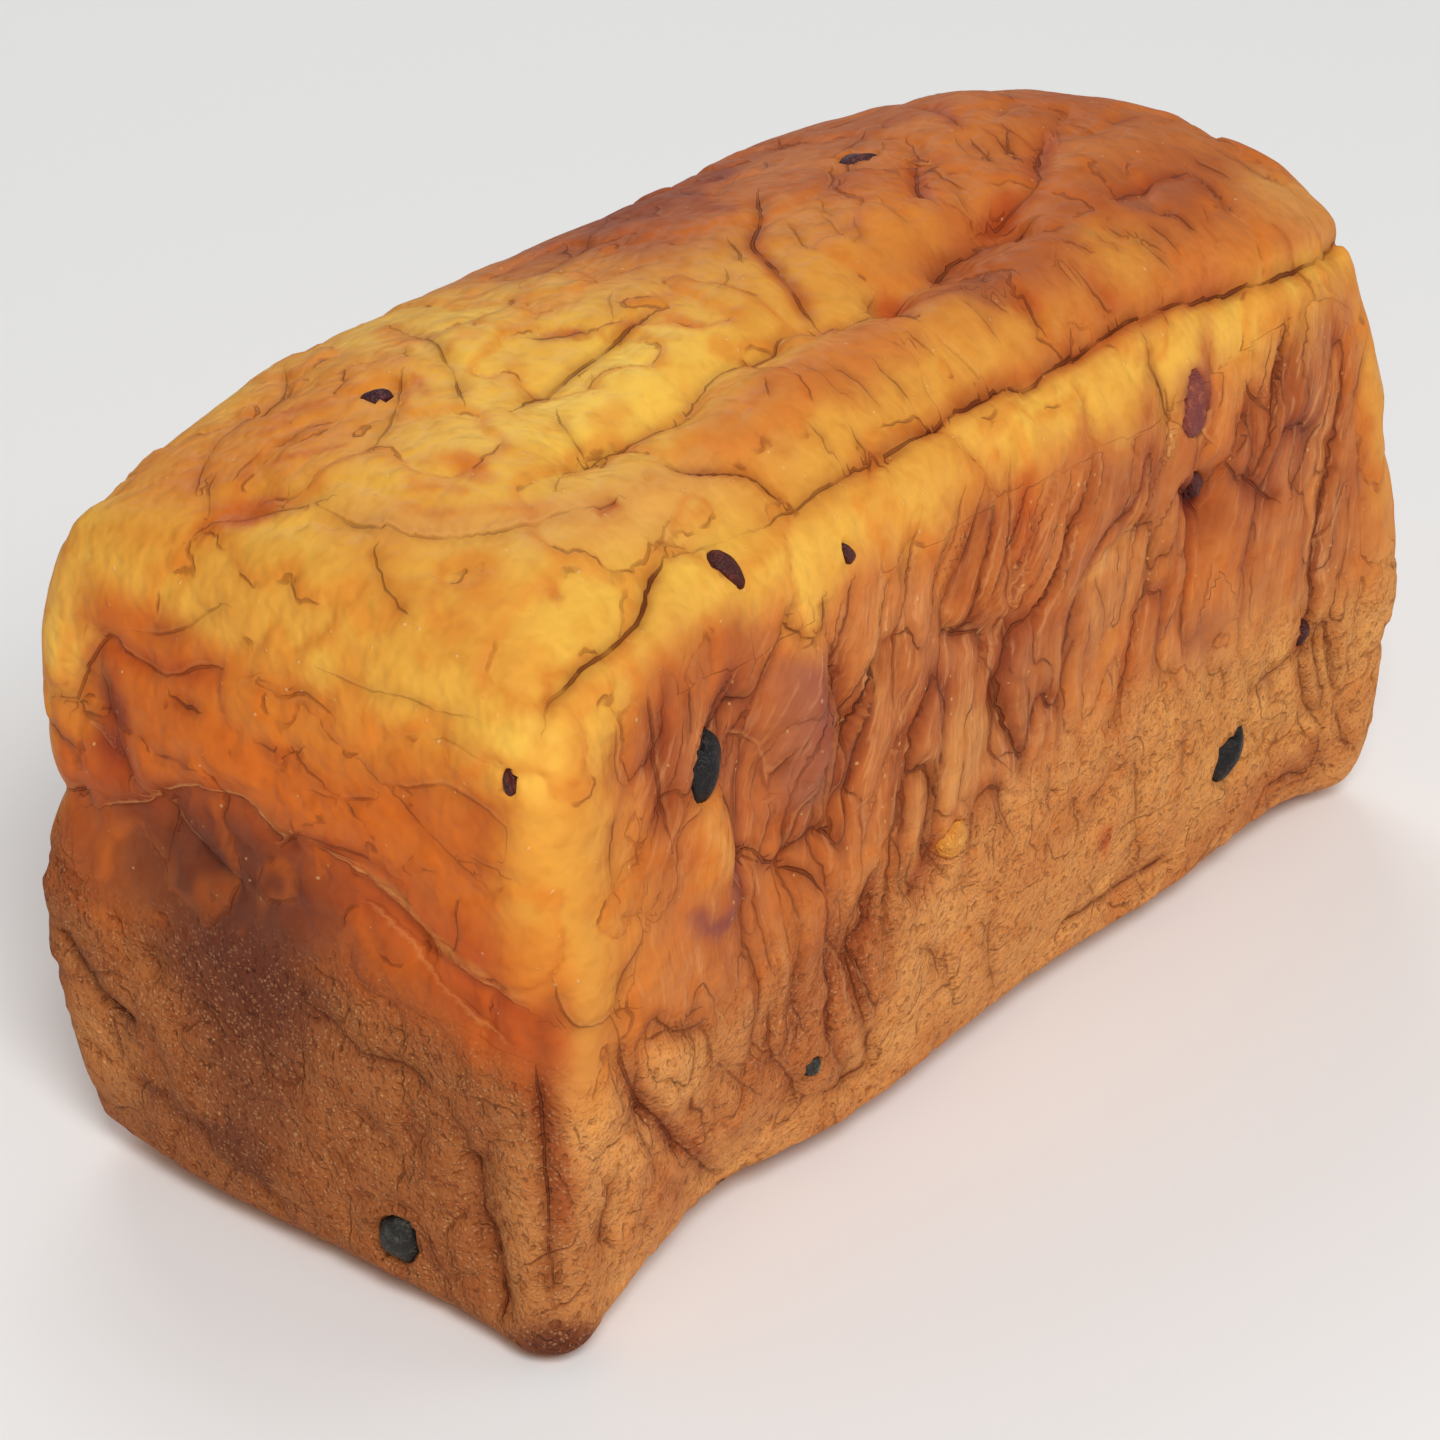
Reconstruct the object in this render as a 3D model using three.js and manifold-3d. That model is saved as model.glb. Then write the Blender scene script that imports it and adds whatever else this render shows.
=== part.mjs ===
// A whole sweet bread loaf, baked in a tin, with raisins and a nub of peel showing in its crust.
// Millimetres, +Z up. X runs along the loaf, and the origin is the middle of the flat base.
// The end at -X is the browned one, and the long side at -Y is the one with the deep pleats.
import * as THREE from "three";
import { mergeVertices } from "three/addons/utils/BufferGeometryUtils.js";
import Module from "manifold-3d";

// Driving dimensions of the loaf
const LENGTH = 210;
const WIDTH = 98;
const SHOULDER = 101; // height of the tin's rim, where the risen top begins
const DOME = 20; // how far the crown stands above the shoulder
const CORNER_RADIUS = 9;
const SHOULDER_RADIUS = 18;
const BASE_RADIUS = 7;

// Form of the dome: it starts below the shoulder and falls away towards the walls
const DOME_START = 0.72;
const DOME_ROUNDNESS = 2.2;
const DOME_END_ROUNDNESS = 4;
const DOME_AT_ENDS = 0.25;

// Lattice cells along, across and up, and how often the faces of a ball are split
const CELLS = [42, 20, 24];
const RAISIN_DETAIL = 2;
const SCRAP_DETAIL = 1;

// Raisins: the free gap to the crumb round them, and their furrows as shares of their size
const POCKET_GAP = 0.3;
const FURROWS = 5;
const FURROW_DEPTH = 0.07;
const BULGES = 4;
const BULGE_DEPTH = 0.05;

const HALF = new THREE.Vector3(LENGTH / 2, WIDTH / 2, SHOULDER / 2);

// A place given as shares of the half length, half width and shoulder height
const at = (along, across, up) => new THREE.Vector3(along * HALF.x, across * HALF.y, up * SHOULDER);

// Broad swellings (push above 0) and hollows (push below 0) of the baked dough
const SWELLS = [
  { name: "near side rolled under", place: at(0.1, -1, 0), spread: [50, 16, 17], push: -6.3 },
  { name: "near side tucked in by the foot", place: at(-0.6, -1, 0), spread: [24, 18, 20], push: -7.8 },
  { name: "near side rolled under, far part", place: at(0.81, -1, 0), spread: [26, 16, 17], push: -5 },
  { name: "near foot in the tin's corner", place: at(-0.98, -1, 0.04), spread: [9, 12, 14], push: 2 },
  { name: "far foot", place: at(0.98, -1, 0.1), spread: [16, 16, 12], push: 3 },
  { name: "belly of the far end", place: at(0.98, -0.3, 0.44), spread: [20, 42, 24], push: 5.5 },
  { name: "belly at the far corner", place: at(0.98, -1, 0.4), spread: [14, 16, 24], push: 1.5 },
  { name: "far corner drawn in at the top", place: at(0.98, -1, 0.93), spread: [14, 14, 16], push: -3 },
  { name: "waist of the browned end", place: at(-0.98, 0.9, 0.6), spread: [20, 30, 9], push: -2 },
  { name: "belly of the browned end", place: at(-0.98, 1, 0.36), spread: [20, 26, 18], push: 1.5 },
  { name: "soft back corner of the top", place: at(-0.98, 1, 1.03), spread: [26, 26, 22], push: -2.5 },
  { name: "worn back foot", place: at(-0.98, 1, 0), spread: [22, 22, 22], push: -5.5 },
  { name: "browned end's lower edge", place: at(-0.98, 0, 0), spread: [14, 40, 12], push: -2 },
  { name: "high far end", place: at(0.93, -0.3, 1.05), spread: [22, 30, 14], push: 2 },
  { name: "far back of the top", place: at(0.93, 0.9, 1.03), spread: [26, 22, 14], push: -2.5 },
  { name: "back shoulder, left", place: at(-0.5, 0.9, 1.03), spread: [46, 18, 14], push: 4 },
  { name: "back shoulder, right", place: at(0.35, 0.9, 1.03), spread: [46, 18, 14], push: 1.5 },
  { name: "back side rolled under", place: at(0.2, 1, 0), spread: [80, 16, 15], push: -5 },
  { name: "near lobe of the top", place: at(0.1, -0.62, 1.1), spread: [52, 10, 22], push: 1.8 },
  { name: "front lobe of the top", place: at(-0.78, -0.3, 1.1), spread: [14, 26, 22], push: 1.5 },
  { name: "pale sunken dough", place: at(-0.42, -0.12, 1.18), spread: [22, 15, 22], push: -2.8 },
  { name: "flat of the crown", place: at(0.45, 0.4, 1.15), spread: [40, 24, 22], push: -1.3 },
  { name: "pit of the crown", place: at(0.22, -0.42, 1.16), spread: [16, 6, 20], push: -2.6 },
];

// Faces that a fold lies on: the outward direction, and the two axes that its places are given in
const FACES = {
  near: { out: new THREE.Vector3(0, -1, 0), axes: ["x", "z"] },
  back: { out: new THREE.Vector3(0, 1, 0), axes: ["x", "z"] },
  browned: { out: new THREE.Vector3(-1, 0, 0), axes: ["y", "z"] },
  far: { out: new THREE.Vector3(1, 0, 0), axes: ["y", "z"] },
  top: { out: new THREE.Vector3(0, 0, 1), axes: ["x", "y"] },
};

// Folds, pleats and splits of the crust: a groove of a width and depth along a path on a face.
// A ledge lifts the crust on the path's left, as a flap of it lies over its neighbour.
const FOLDS = [
  { face: "top", name: "split along the rim", width: 2.6, depth: 3.4, ledge: 0,
    path: [[104, -41], [88, -45], [54, -43.4], [17, -43], [-20, -42.6], [-48, -43]] },
  { face: "top", name: "split to the corner", width: 3.4, depth: 2, ledge: 0,
    path: [[-62, -34], [-72, -40], [-90, -42], [-102, -45]] },
  { face: "top", name: "valley of the near lobe", width: 4.6, depth: 2.6, ledge: 0,
    path: [[-44, -22], [-18, -19], [1, -22], [25, -24], [52, -14], [70, -2]] },
  { face: "top", name: "valley into the crown", width: 4.6, depth: 2.4, ledge: 0,
    path: [[25, -24], [34, -7], [49, 8]] },
  { face: "top", name: "split across the crown", width: 3.4, depth: 1.8, ledge: 0,
    path: [[14, 20], [3, 1], [-8, -19]] },
  { face: "top", name: "fold of the front lobe", width: 4, depth: 1.8, ledge: 1.4,
    path: [[-65, -29], [-80, -21], [-87, -13], [-88, 2], [-96, 18]] },
  { face: "top", name: "arc of the near lobe", width: 3.4, depth: 1.8, ledge: 0.8,
    path: [[-53, -26], [-45, -32], [-41, -39]] },
  { face: "browned", name: "edge of the pale cap", width: 3.6, depth: 1.6, ledge: 0,
    path: [[44, 76], [37, 87], [23, 88], [7, 93], [-16, 97], [-36, 99]] },
  { face: "browned", name: "waist notch", width: 3.4, depth: 1.8, ledge: 0,
    path: [[52, 60], [44, 61], [34, 66]] },
  { face: "browned", name: "edge of the smooth skin", width: 4.6, depth: 1.6, ledge: 1.6,
    path: [[-46, 50], [-32, 61], [-18, 70], [4, 70], [24, 66], [40, 58]] },
  { face: "browned", name: "low crease at the back", width: 3.6, depth: 2.2, ledge: 0,
    path: [[46, 40], [35, 31], [20, 27]] },
  { face: "browned", name: "crease under the scorch", width: 3.4, depth: 1.4, ledge: 0,
    path: [[-5, 45], [-14, 43], [-26, 40]] },
  { face: "browned", name: "pleat beside the foot", width: 3.2, depth: 2.2, ledge: 0,
    path: [[-32, 38], [-35, 22], [-37, 5]] },
  { face: "near", name: "left rim of the pocket", width: 3.8, depth: 3, ledge: 0,
    path: [[-72, 70], [-70, 86], [-60, 90], [-52, 97]] },
  { face: "near", name: "right rim of the pocket", width: 3.8, depth: 3, ledge: 0,
    path: [[-48, 95], [-46, 80], [-44, 66], [-58, 62], [-70, 61]] },
  { face: "near", name: "long pleat", width: 3.8, depth: 2.6, ledge: 0.8,
    path: [[-6, 97], [-16, 84], [-8, 74], [-4, 62], [-7, 45]] },
  { face: "near", name: "dark pleat", width: 3.8, depth: 2.2, ledge: 0,
    path: [[-82, 97], [-82, 84], [-80, 70]] },
  { face: "near", name: "pleat in the middle", width: 3.6, depth: 2.2, ledge: 0,
    path: [[4, 98], [2, 86], [-1, 78]] },
  { face: "near", name: "far hollow", width: 4.6, depth: 3, ledge: 0,
    path: [[50, 92], [49, 76], [44, 58]] },
  { face: "near", name: "far pleat", width: 3.8, depth: 2, ledge: 0,
    path: [[82, 78], [72, 66], [60, 70]] },
  { face: "near", name: "slanting split by the foot", width: 3.8, depth: 2.8, ledge: 1,
    path: [[-99, 56], [-90, 46], [-84, 30], [-70, 14]] },
  { face: "near", name: "split beside the foot", width: 3.2, depth: 2.4, ledge: 0,
    path: [[-91, 32], [-94, 18]] },
  { face: "near", name: "low pleat", width: 3.8, depth: 2.2, ledge: 0,
    path: [[-34, 56], [-33, 42], [-40, 30]] },
  { face: "back", name: "back pleat, left", width: 3.8, depth: 2.6, ledge: 0.8,
    path: [[70, 96], [66, 74], [72, 52]] },
  { face: "back", name: "back pleat, middle", width: 3.8, depth: 2.6, ledge: 0.8,
    path: [[12, 98], [8, 78], [14, 60], [10, 40]] },
  { face: "back", name: "back pleat, right", width: 3.8, depth: 2.4, ledge: 0,
    path: [[-58, 94], [-52, 76], [-57, 56]] },
  { face: "back", name: "back split, low", width: 3.6, depth: 2.4, ledge: 0,
    path: [[-84, 46], [-72, 30], [-66, 14]] },
  { face: "far", name: "edge of the far end's skin", width: 4.6, depth: 1.6, ledge: 1.2,
    path: [[-44, 66], [-16, 74], [14, 70], [42, 60]] },
  { face: "far", name: "far end crease", width: 3.4, depth: 1.8, ledge: 0,
    path: [[18, 44], [-2, 38], [-20, 42]] },
];
const LEDGE_REACH = 11; // how far from its edge a flap fades into the crust
const WOBBLE = { period: 22, reach: 1.1, phase: 0.4 };
const FADE = [0.12, 0.42]; // a fold fades where the crust turns this far from its face
const TIP = 0.12; // share of a path over which a fold runs out at its ends
const TIP_DEPTH = 0.25;
const SNAP = 2; // a lattice point this near to a fold is drawn to its bottom

// Upright ribs of the pulled dough on the walls, and the slow unevenness of the whole crust
const RIBS = [
  { period: 15, lean: 0.16, height: 0.55 },
  { period: 9.5, lean: -0.1, height: 0.35 },
];
const RIB_BAND = [0.1, 0.3, 0.8, 0.97]; // shares of the shoulder height
const RIB_SWAY = { period: 40, reach: 2 };
const CORNER_FADE = 0.5;
const UNEVEN = { period: 34, height: 0.7, phase: 0.9 };

// The relief fades out in the lowest share of the walls, and the base has settled flat
const FOOT_BAND = 0.12;
const SETTLE = 0.3;

// Pieces of fruit in the crust. place is a point on the face, size is long, wide and thick,
// turn is the long axis's angle on the face, and proud is how far the piece stands out.
const RAISINS = [
  { name: "raisin_in_pocket", face: "near", place: [-72, 83.5],
    size: [12, 5.4, 6], turn: 80, proud: 0.9 },
  { name: "raisin_near_low", face: "near", place: [62, 26],
    size: [9, 6.4, 6], turn: 62, proud: 0.8 },
  { name: "raisin_at_browned_foot", face: "browned", place: [-18.5, 11.5],
    size: [9.5, 7.4, 6], turn: 118, proud: 0.9 },
  { name: "raisin_on_shoulder", face: "top", place: [-58, -42],
    size: [7.6, 4.4, 3.6], turn: -78, proud: 0.8 },
  { name: "raisin_on_crown", face: "top", place: [41.5, 11],
    size: [6.4, 3.6, 3.6], turn: -45, proud: 0.7 },
  { name: "raisin_under_skin", face: "near", place: [46, 93],
    size: [10.5, 5.6, 5], turn: 72, proud: 0.6 },
  { name: "raisin_back_high", face: "back", place: [38, 72],
    size: [9.5, 5.6, 5.4], turn: 78, proud: 0.8 },
  { name: "raisin_back_low", face: "back", place: [-38, 34],
    size: [9, 6.4, 5.6], turn: 110, proud: 0.8 },
  { name: "raisin_on_far_end", face: "far", place: [14, 54],
    size: [9, 6, 5.6], turn: 64, proud: 0.8 },
];

// Scraps of fruit and a nub of peel, too small to come loose from the crust
const SCRAPS = [
  { name: "torn raisin in the far hollow", face: "near", place: [49, 78],
    size: [6, 3.6, 4], turn: 110, proud: 0.5 },
  { name: "scrap on the shoulder", face: "near", place: [-36, 100],
    size: [3.8, 2.8, 3], turn: 100, proud: 0.6 },
  { name: "scrap by the corner", face: "browned", place: [-41, 92.5],
    size: [4.4, 2.4, 3], turn: 70, proud: 0.6 },
  { name: "scrap on the top", face: "top", place: [-64.5, 15],
    size: [4.8, 2.6, 3], turn: -60, proud: 0.6 },
  { name: "scrap low on the near side", face: "near", place: [-46, 22],
    size: [3.6, 2.8, 3], turn: 90, proud: 0.6 },
  { name: "scrap far on the near side", face: "near", place: [80, 40],
    size: [5, 3, 3.4], turn: 70, proud: 0.6 },
  { name: "nub of peel", face: "near", place: [-15, 46.5],
    size: [5.4, 5, 4.4], turn: 20, proud: 0.9 },
  { name: "scrap on the back", face: "back", place: [2, 86],
    size: [4.6, 3, 3.2], turn: 80, proud: 0.6 },
];

const smoothstep = (low, high, x) => {
  const t = Math.min(Math.max((x - low) / (high - low), 0), 1);
  return t * t * (3 - 2 * t);
};
const mix = (a, b, t) => a + (b - a) * t;

// Smooth unevenness between -1 and 1: three slanted waves, none of which lines up with another
function ripple(p, period, phase) {
  const k = (2 * Math.PI) / period;
  return (
    (Math.sin(k * (p.x + 0.37 * p.y + 0.21 * p.z) + phase) +
      Math.sin(k * (0.83 * p.y - 0.45 * p.x + 0.52 * p.z) + 2.1 * phase + 1.3) +
      Math.sin(k * (0.91 * p.z + 0.33 * p.x - 0.61 * p.y) + 3.7 * phase + 2.6)) /
    3
  );
}

// A block of the tin's size with rounded edges, and the outward normal there
function tinBlock(unit) {
  const upright = unit.z > 0 ? SHOULDER_RADIUS : BASE_RADIUS;
  const radius = new THREE.Vector3(CORNER_RADIUS, CORNER_RADIUS, upright);
  const flat = HALF.clone().sub(radius);
  const raw = unit.clone().multiply(HALF);
  const point = raw.clone().clamp(flat.clone().negate(), flat);
  const out = raw.sub(point).divide(radius).normalize();
  point.add(out.clone().multiply(radius));
  point.z += HALF.z;
  return { point, normal: out.divide(radius).normalize() };
}

// Lifts the upper part into the risen crown
function raiseDome(point) {
  const lift = smoothstep(DOME_START, 1, point.z / SHOULDER);
  const across = 1 - Math.abs(point.y / HALF.y) ** DOME_ROUNDNESS;
  const along = 1 - Math.abs(point.x / HALF.x) ** DOME_END_ROUNDNESS;
  point.z += DOME * lift * Math.max(across, 0) * mix(DOME_AT_ENDS, 1, Math.max(along, 0));
}

function swell(point, normal) {
  for (const { place, spread, push } of SWELLS) {
    const apart = point.clone().sub(place).divide(new THREE.Vector3(...spread));
    point.addScaledVector(normal, push * Math.exp(-apart.lengthSq()));
  }
}

// Nearest place of a path: the way to it, its distance, the path's side (+1 is left), and the
// share of the path before it
function nearestOnPath(a, b, path) {
  let best = { distance: Infinity };
  for (let i = 0; i + 1 < path.length; i++) {
    const [ax, ay] = path[i];
    const [dx, dy] = [path[i + 1][0] - ax, path[i + 1][1] - ay];
    const t = Math.min(Math.max(((a - ax) * dx + (b - ay) * dy) / (dx * dx + dy * dy), 0), 1);
    const way = [ax + t * dx - a, ay + t * dy - b];
    const distance = Math.hypot(...way);
    if (distance < best.distance)
      best = {
        way,
        distance,
        side: dy * way[0] - dx * way[1] > 0 ? 1 : -1,
        share: (i + t) / (path.length - 1),
      };
  }
  return best;
}

// How far the folds move the crust along its normal at a point, and the slide along the crust to
// the bottom of the nearest one where that is near
function foldCrust(point, normal) {
  const warp = WOBBLE.reach * ripple(point, WOBBLE.period, WOBBLE.phase);
  let relief = 0;
  let slide = new THREE.Vector3();
  let nearest = SNAP;
  for (const { face, path, width, depth, ledge } of FOLDS) {
    const { out, axes } = FACES[face];
    const turn = normal.dot(out);
    if (turn < FADE[0]) continue;
    const { way, distance, side, share } = nearestOnPath(
      point[axes[0]] + warp,
      point[axes[1]] - warp,
      path,
    );
    const across = new THREE.Vector3();
    across[axes[0]] = way[0];
    across[axes[1]] = way[1];
    across.addScaledVector(out, -across.dot(normal) / turn);
    const onLine = across.length() < SNAP;
    if (across.length() < nearest) {
      nearest = across.length();
      slide = across;
    }
    const ends = smoothstep(0, TIP, share) * smoothstep(0, TIP, 1 - share);
    const apart = onLine ? 0 : distance;
    const groove = depth * Math.exp(-((apart / width) ** 2));
    const flap = side * smoothstep(0, width, apart) * Math.exp(-((apart / LEDGE_REACH) ** 2));
    relief += smoothstep(...FADE, turn) * mix(TIP_DEPTH, 1, ends) * ((ledge / 2) * flap - groove);
  }
  return { relief, slide };
}

// Upright ribs on the walls, as the dough pulled up the tin
function ribHeight(point, normal) {
  const [low, full, start, high] = RIB_BAND.map((share) => share * SHOULDER);
  const band = smoothstep(low, full, point.z) * (1 - smoothstep(start, high, point.z));
  const longSide = Math.abs(normal.y) - Math.abs(normal.x);
  const along = longSide > 0 ? point.x : point.y;
  const wall = (1 - Math.abs(normal.z)) * smoothstep(0, CORNER_FADE, Math.abs(longSide));
  let height = 0;
  for (const [i, rib] of RIBS.entries()) {
    const sway = RIB_SWAY.reach * ripple(point, RIB_SWAY.period, i);
    const turns = (along + rib.lean * point.z + sway) / rib.period;
    height += rib.height * Math.sin(2 * Math.PI * turns);
  }
  return band * wall * height;
}

// The crust's point for a point of a cube from -1 to 1
function crust(unit) {
  const { point, normal } = tinBlock(unit);
  raiseDome(point);
  swell(point, normal);
  const fold = foldCrust(point, normal);
  const uneven = UNEVEN.height * ripple(point, UNEVEN.period, UNEVEN.phase);
  const relief = fold.relief + ribHeight(point, normal) + uneven;
  const standing = smoothstep(0, FOOT_BAND, point.z / SHOULDER);
  point.addScaledVector(normal, relief * standing).addScaledVector(fold.slide, standing);
  point.z = Math.max(point.z - SETTLE, 0);
  return point;
}

// Welds a geometry down to its positions
function welded(geometry) {
  geometry.deleteAttribute("normal");
  geometry.deleteAttribute("uv");
  return mergeVertices(geometry, 1e-4);
}

function loafGeometry() {
  const geometry = welded(new THREE.BoxGeometry(2, 2, 2, ...CELLS));
  const position = geometry.getAttribute("position");
  const unit = new THREE.Vector3();
  for (let i = 0; i < position.count; i++) {
    const p = crust(unit.fromBufferAttribute(position, i));
    position.setXYZ(i, p.x, p.y, p.z);
  }
  return geometry;
}

// A wrinkled dried fruit: a squashed ball with furrows round its long axis, grown by a margin
function fruitGeometry([long, wide, thick], phase, margin, detail) {
  const geometry = welded(new THREE.IcosahedronGeometry(1, detail));
  const position = geometry.getAttribute("position");
  const half = new THREE.Vector3(long, wide, thick).multiplyScalar(0.5).addScalar(margin);
  const point = new THREE.Vector3();
  for (let i = 0; i < position.count; i++) {
    point.fromBufferAttribute(position, i);
    const round = Math.atan2(point.z, point.y);
    const twist = 2 * point.x;
    const furrow = FURROW_DEPTH * Math.sin(FURROWS * round + twist + phase) * (1 - point.x ** 2);
    const bulge = BULGE_DEPTH * Math.sin(BULGES * point.x + phase);
    point.multiplyScalar(1 + furrow + bulge).multiply(half);
    position.setXYZ(i, point.x, point.y, point.z);
  }
  return geometry;
}

// Lays a piece on the crust where a straight line on to its face meets it: its thickness along
// the crust's outward direction, its length along the face at the angle given
function layOnCrust(object, loaf, { face, place, size, turn, proud }) {
  const { out, axes } = FACES[face];
  const origin = out.clone().multiplyScalar(LENGTH);
  origin[axes[0]] = place[0];
  origin[axes[1]] = place[1];
  const hit = new THREE.Raycaster(origin, out.clone().negate()).intersectObject(loaf)[0];
  const angle = THREE.MathUtils.degToRad(turn);
  const long = new THREE.Vector3();
  long[axes[0]] = Math.cos(angle);
  long[axes[1]] = Math.sin(angle);
  long.projectOnPlane(hit.face.normal).normalize();
  const wide = new THREE.Vector3().crossVectors(hit.face.normal, long);
  const basis = new THREE.Matrix4().makeBasis(long, wide, hit.face.normal);
  object.quaternion.setFromRotationMatrix(basis);
  object.position.copy(hit.point).addScaledVector(hit.face.normal, proud - size[2] / 2);
  object.updateMatrix();
}

const wasm = await Module();
wasm.setup();

function toSolid(geometry) {
  return new wasm.Manifold(
    new wasm.Mesh({
      numProp: 3,
      vertProperties: geometry.getAttribute("position").array,
      triVerts: new Uint32Array(geometry.index.array),
    }),
  );
}

function toGeometry(solid) {
  const { vertProperties, triVerts } = solid.getMesh();
  const geometry = new THREE.BufferGeometry();
  geometry.setAttribute("position", new THREE.BufferAttribute(vertProperties, 3));
  geometry.setIndex(new THREE.BufferAttribute(triVerts, 1));
  geometry.computeVertexNormals();
  return geometry;
}

const crustMaterial = new THREE.MeshStandardMaterial({
  color: 0xcf8540,
  roughness: 0.62,
  metalness: 0,
});
const raisinMaterial = new THREE.MeshStandardMaterial({
  color: 0x241a18,
  roughness: 0.35,
  metalness: 0,
});

const group = new THREE.Group();
const loaf = new THREE.Mesh(loafGeometry(), crustMaterial);
loaf.name = "loaf";

let crumb = toSolid(loaf.geometry);
for (const [i, scrap] of SCRAPS.entries()) {
  const lump = new THREE.Object3D();
  layOnCrust(lump, loaf, scrap);
  const geometry = fruitGeometry(scrap.size, i, 0, SCRAP_DETAIL).applyMatrix4(lump.matrix);
  crumb = crumb.add(toSolid(geometry));
}
for (const [i, raisin] of RAISINS.entries()) {
  const geometry = fruitGeometry(raisin.size, i, 0, RAISIN_DETAIL);
  const piece = new THREE.Mesh(geometry, raisinMaterial.clone());
  piece.name = raisin.name;
  layOnCrust(piece, loaf, raisin);
  const pocket = fruitGeometry(raisin.size, i, POCKET_GAP, RAISIN_DETAIL).applyMatrix4(piece.matrix);
  crumb = crumb.subtract(toSolid(pocket));
  group.add(piece);
}
loaf.geometry = toGeometry(crumb);
group.add(loaf);

export default group;
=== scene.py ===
"""A whole sweet bread loaf, baked in a tin, with raisins and a nub of peel in its crust.

The places and sizes below are millimetres in the loaf's own frame: X along it, the browned end at
-X, the pleated long side at -Y, and Z up from the flat base. The meshes are made in metres.
"""

import math

import bpy
import numpy as np
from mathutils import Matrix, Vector


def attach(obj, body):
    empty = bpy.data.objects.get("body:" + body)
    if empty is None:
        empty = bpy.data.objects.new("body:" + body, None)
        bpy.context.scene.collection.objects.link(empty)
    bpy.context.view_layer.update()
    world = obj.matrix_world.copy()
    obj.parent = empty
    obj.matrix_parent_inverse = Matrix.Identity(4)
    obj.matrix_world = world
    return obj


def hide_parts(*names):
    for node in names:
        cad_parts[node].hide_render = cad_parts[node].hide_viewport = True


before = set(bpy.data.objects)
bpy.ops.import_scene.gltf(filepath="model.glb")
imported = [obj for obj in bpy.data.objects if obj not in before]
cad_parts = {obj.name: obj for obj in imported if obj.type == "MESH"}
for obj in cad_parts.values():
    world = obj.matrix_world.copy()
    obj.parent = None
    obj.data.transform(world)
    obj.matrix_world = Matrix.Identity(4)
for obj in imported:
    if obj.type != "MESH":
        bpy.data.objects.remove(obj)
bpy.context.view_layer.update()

# Driving dimensions of the loaf, as its solids have them
MM = 0.001
LENGTH = 210.0
WIDTH = 98.0
SHOULDER = 101.0  # height of the tin's rim, where the risen top begins
DOME = 20.0
CORNER_RADIUS = 9.0
SHOULDER_RADIUS = 18.0
BASE_RADIUS = 7.0
DOME_START = 0.72  # share of the shoulder's height from which the dough is lifted
DOME_ROUNDNESS = 2.2
DOME_END_ROUNDNESS = 4.0
DOME_AT_ENDS = 0.25
FOOT_BAND = 0.12  # share of the height over which the relief fades in above the base
SETTLE = 0.3  # how much of the base's unevenness is pressed flat
HALF = np.array([LENGTH, WIDTH, SHOULDER]) / 2

# Cells of the crust's lattice along, across and up: about 1 mm each
CELLS = (202, 94, 98)

# Broad swellings and hollows of the dough: place as shares of the half length, half width and
# shoulder height, spread in mm, and how far the crust is pushed out
SWELLS = [
    ((0.1, -1, 0), (50, 16, 17), -6.3),  # near side rolled under
    ((-0.6, -1, 0), (24, 18, 20), -7.8),
    ((0.81, -1, 0), (26, 16, 17), -5),
    ((-0.98, -1, 0.04), (9, 12, 14), 2),  # near foot in the tin's corner
    ((0.98, -1, 0.1), (16, 16, 12), 3),
    ((0.98, -0.3, 0.44), (20, 42, 24), 5.5),  # belly of the far end
    ((0.98, -1, 0.4), (14, 16, 24), 1.5),
    ((0.98, -1, 0.93), (14, 14, 16), -3),
    ((-0.98, 0.9, 0.6), (20, 30, 9), -2),  # waist of the browned end
    ((-0.98, 1, 0.36), (20, 26, 18), 1.5),
    ((-0.98, 1, 1.03), (26, 26, 22), -2.5),
    ((-0.98, 1, 0), (22, 22, 22), -5.5),  # worn back foot
    ((-0.98, 0, 0), (14, 40, 12), -2),
    ((0.93, -0.3, 1.05), (22, 30, 14), 2),
    ((0.93, 0.9, 1.03), (26, 22, 14), -2.5),
    ((-0.5, 0.9, 1.03), (46, 18, 14), 4),  # back shoulder
    ((0.35, 0.9, 1.03), (46, 18, 14), 1.5),
    ((0.2, 1, 0), (80, 16, 15), -5),  # back side rolled under
    ((0.1, -0.62, 1.1), (52, 10, 22), 1.8),  # near lobe of the top
    ((-0.78, -0.3, 1.1), (14, 26, 22), 1.5),  # front lobe of the top
    ((-0.42, -0.12, 1.18), (22, 15, 22), -2.8),  # pale sunken dough
    ((0.45, 0.4, 1.15), (40, 24, 22), -1.3),
    ((0.22, -0.42, 1.16), (16, 6, 20), -2.6),  # pit of the crown
]

# Faces that places lie on: the axis and the side that the face looks to, and the two axes of its
# places
FACES = {
    "near": (1, -1, (0, 2)),
    "back": (1, 1, (0, 2)),
    "browned": (0, -1, (1, 2)),
    "far": (0, 1, (1, 2)),
    "top": (2, 1, (0, 1)),
}

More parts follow.
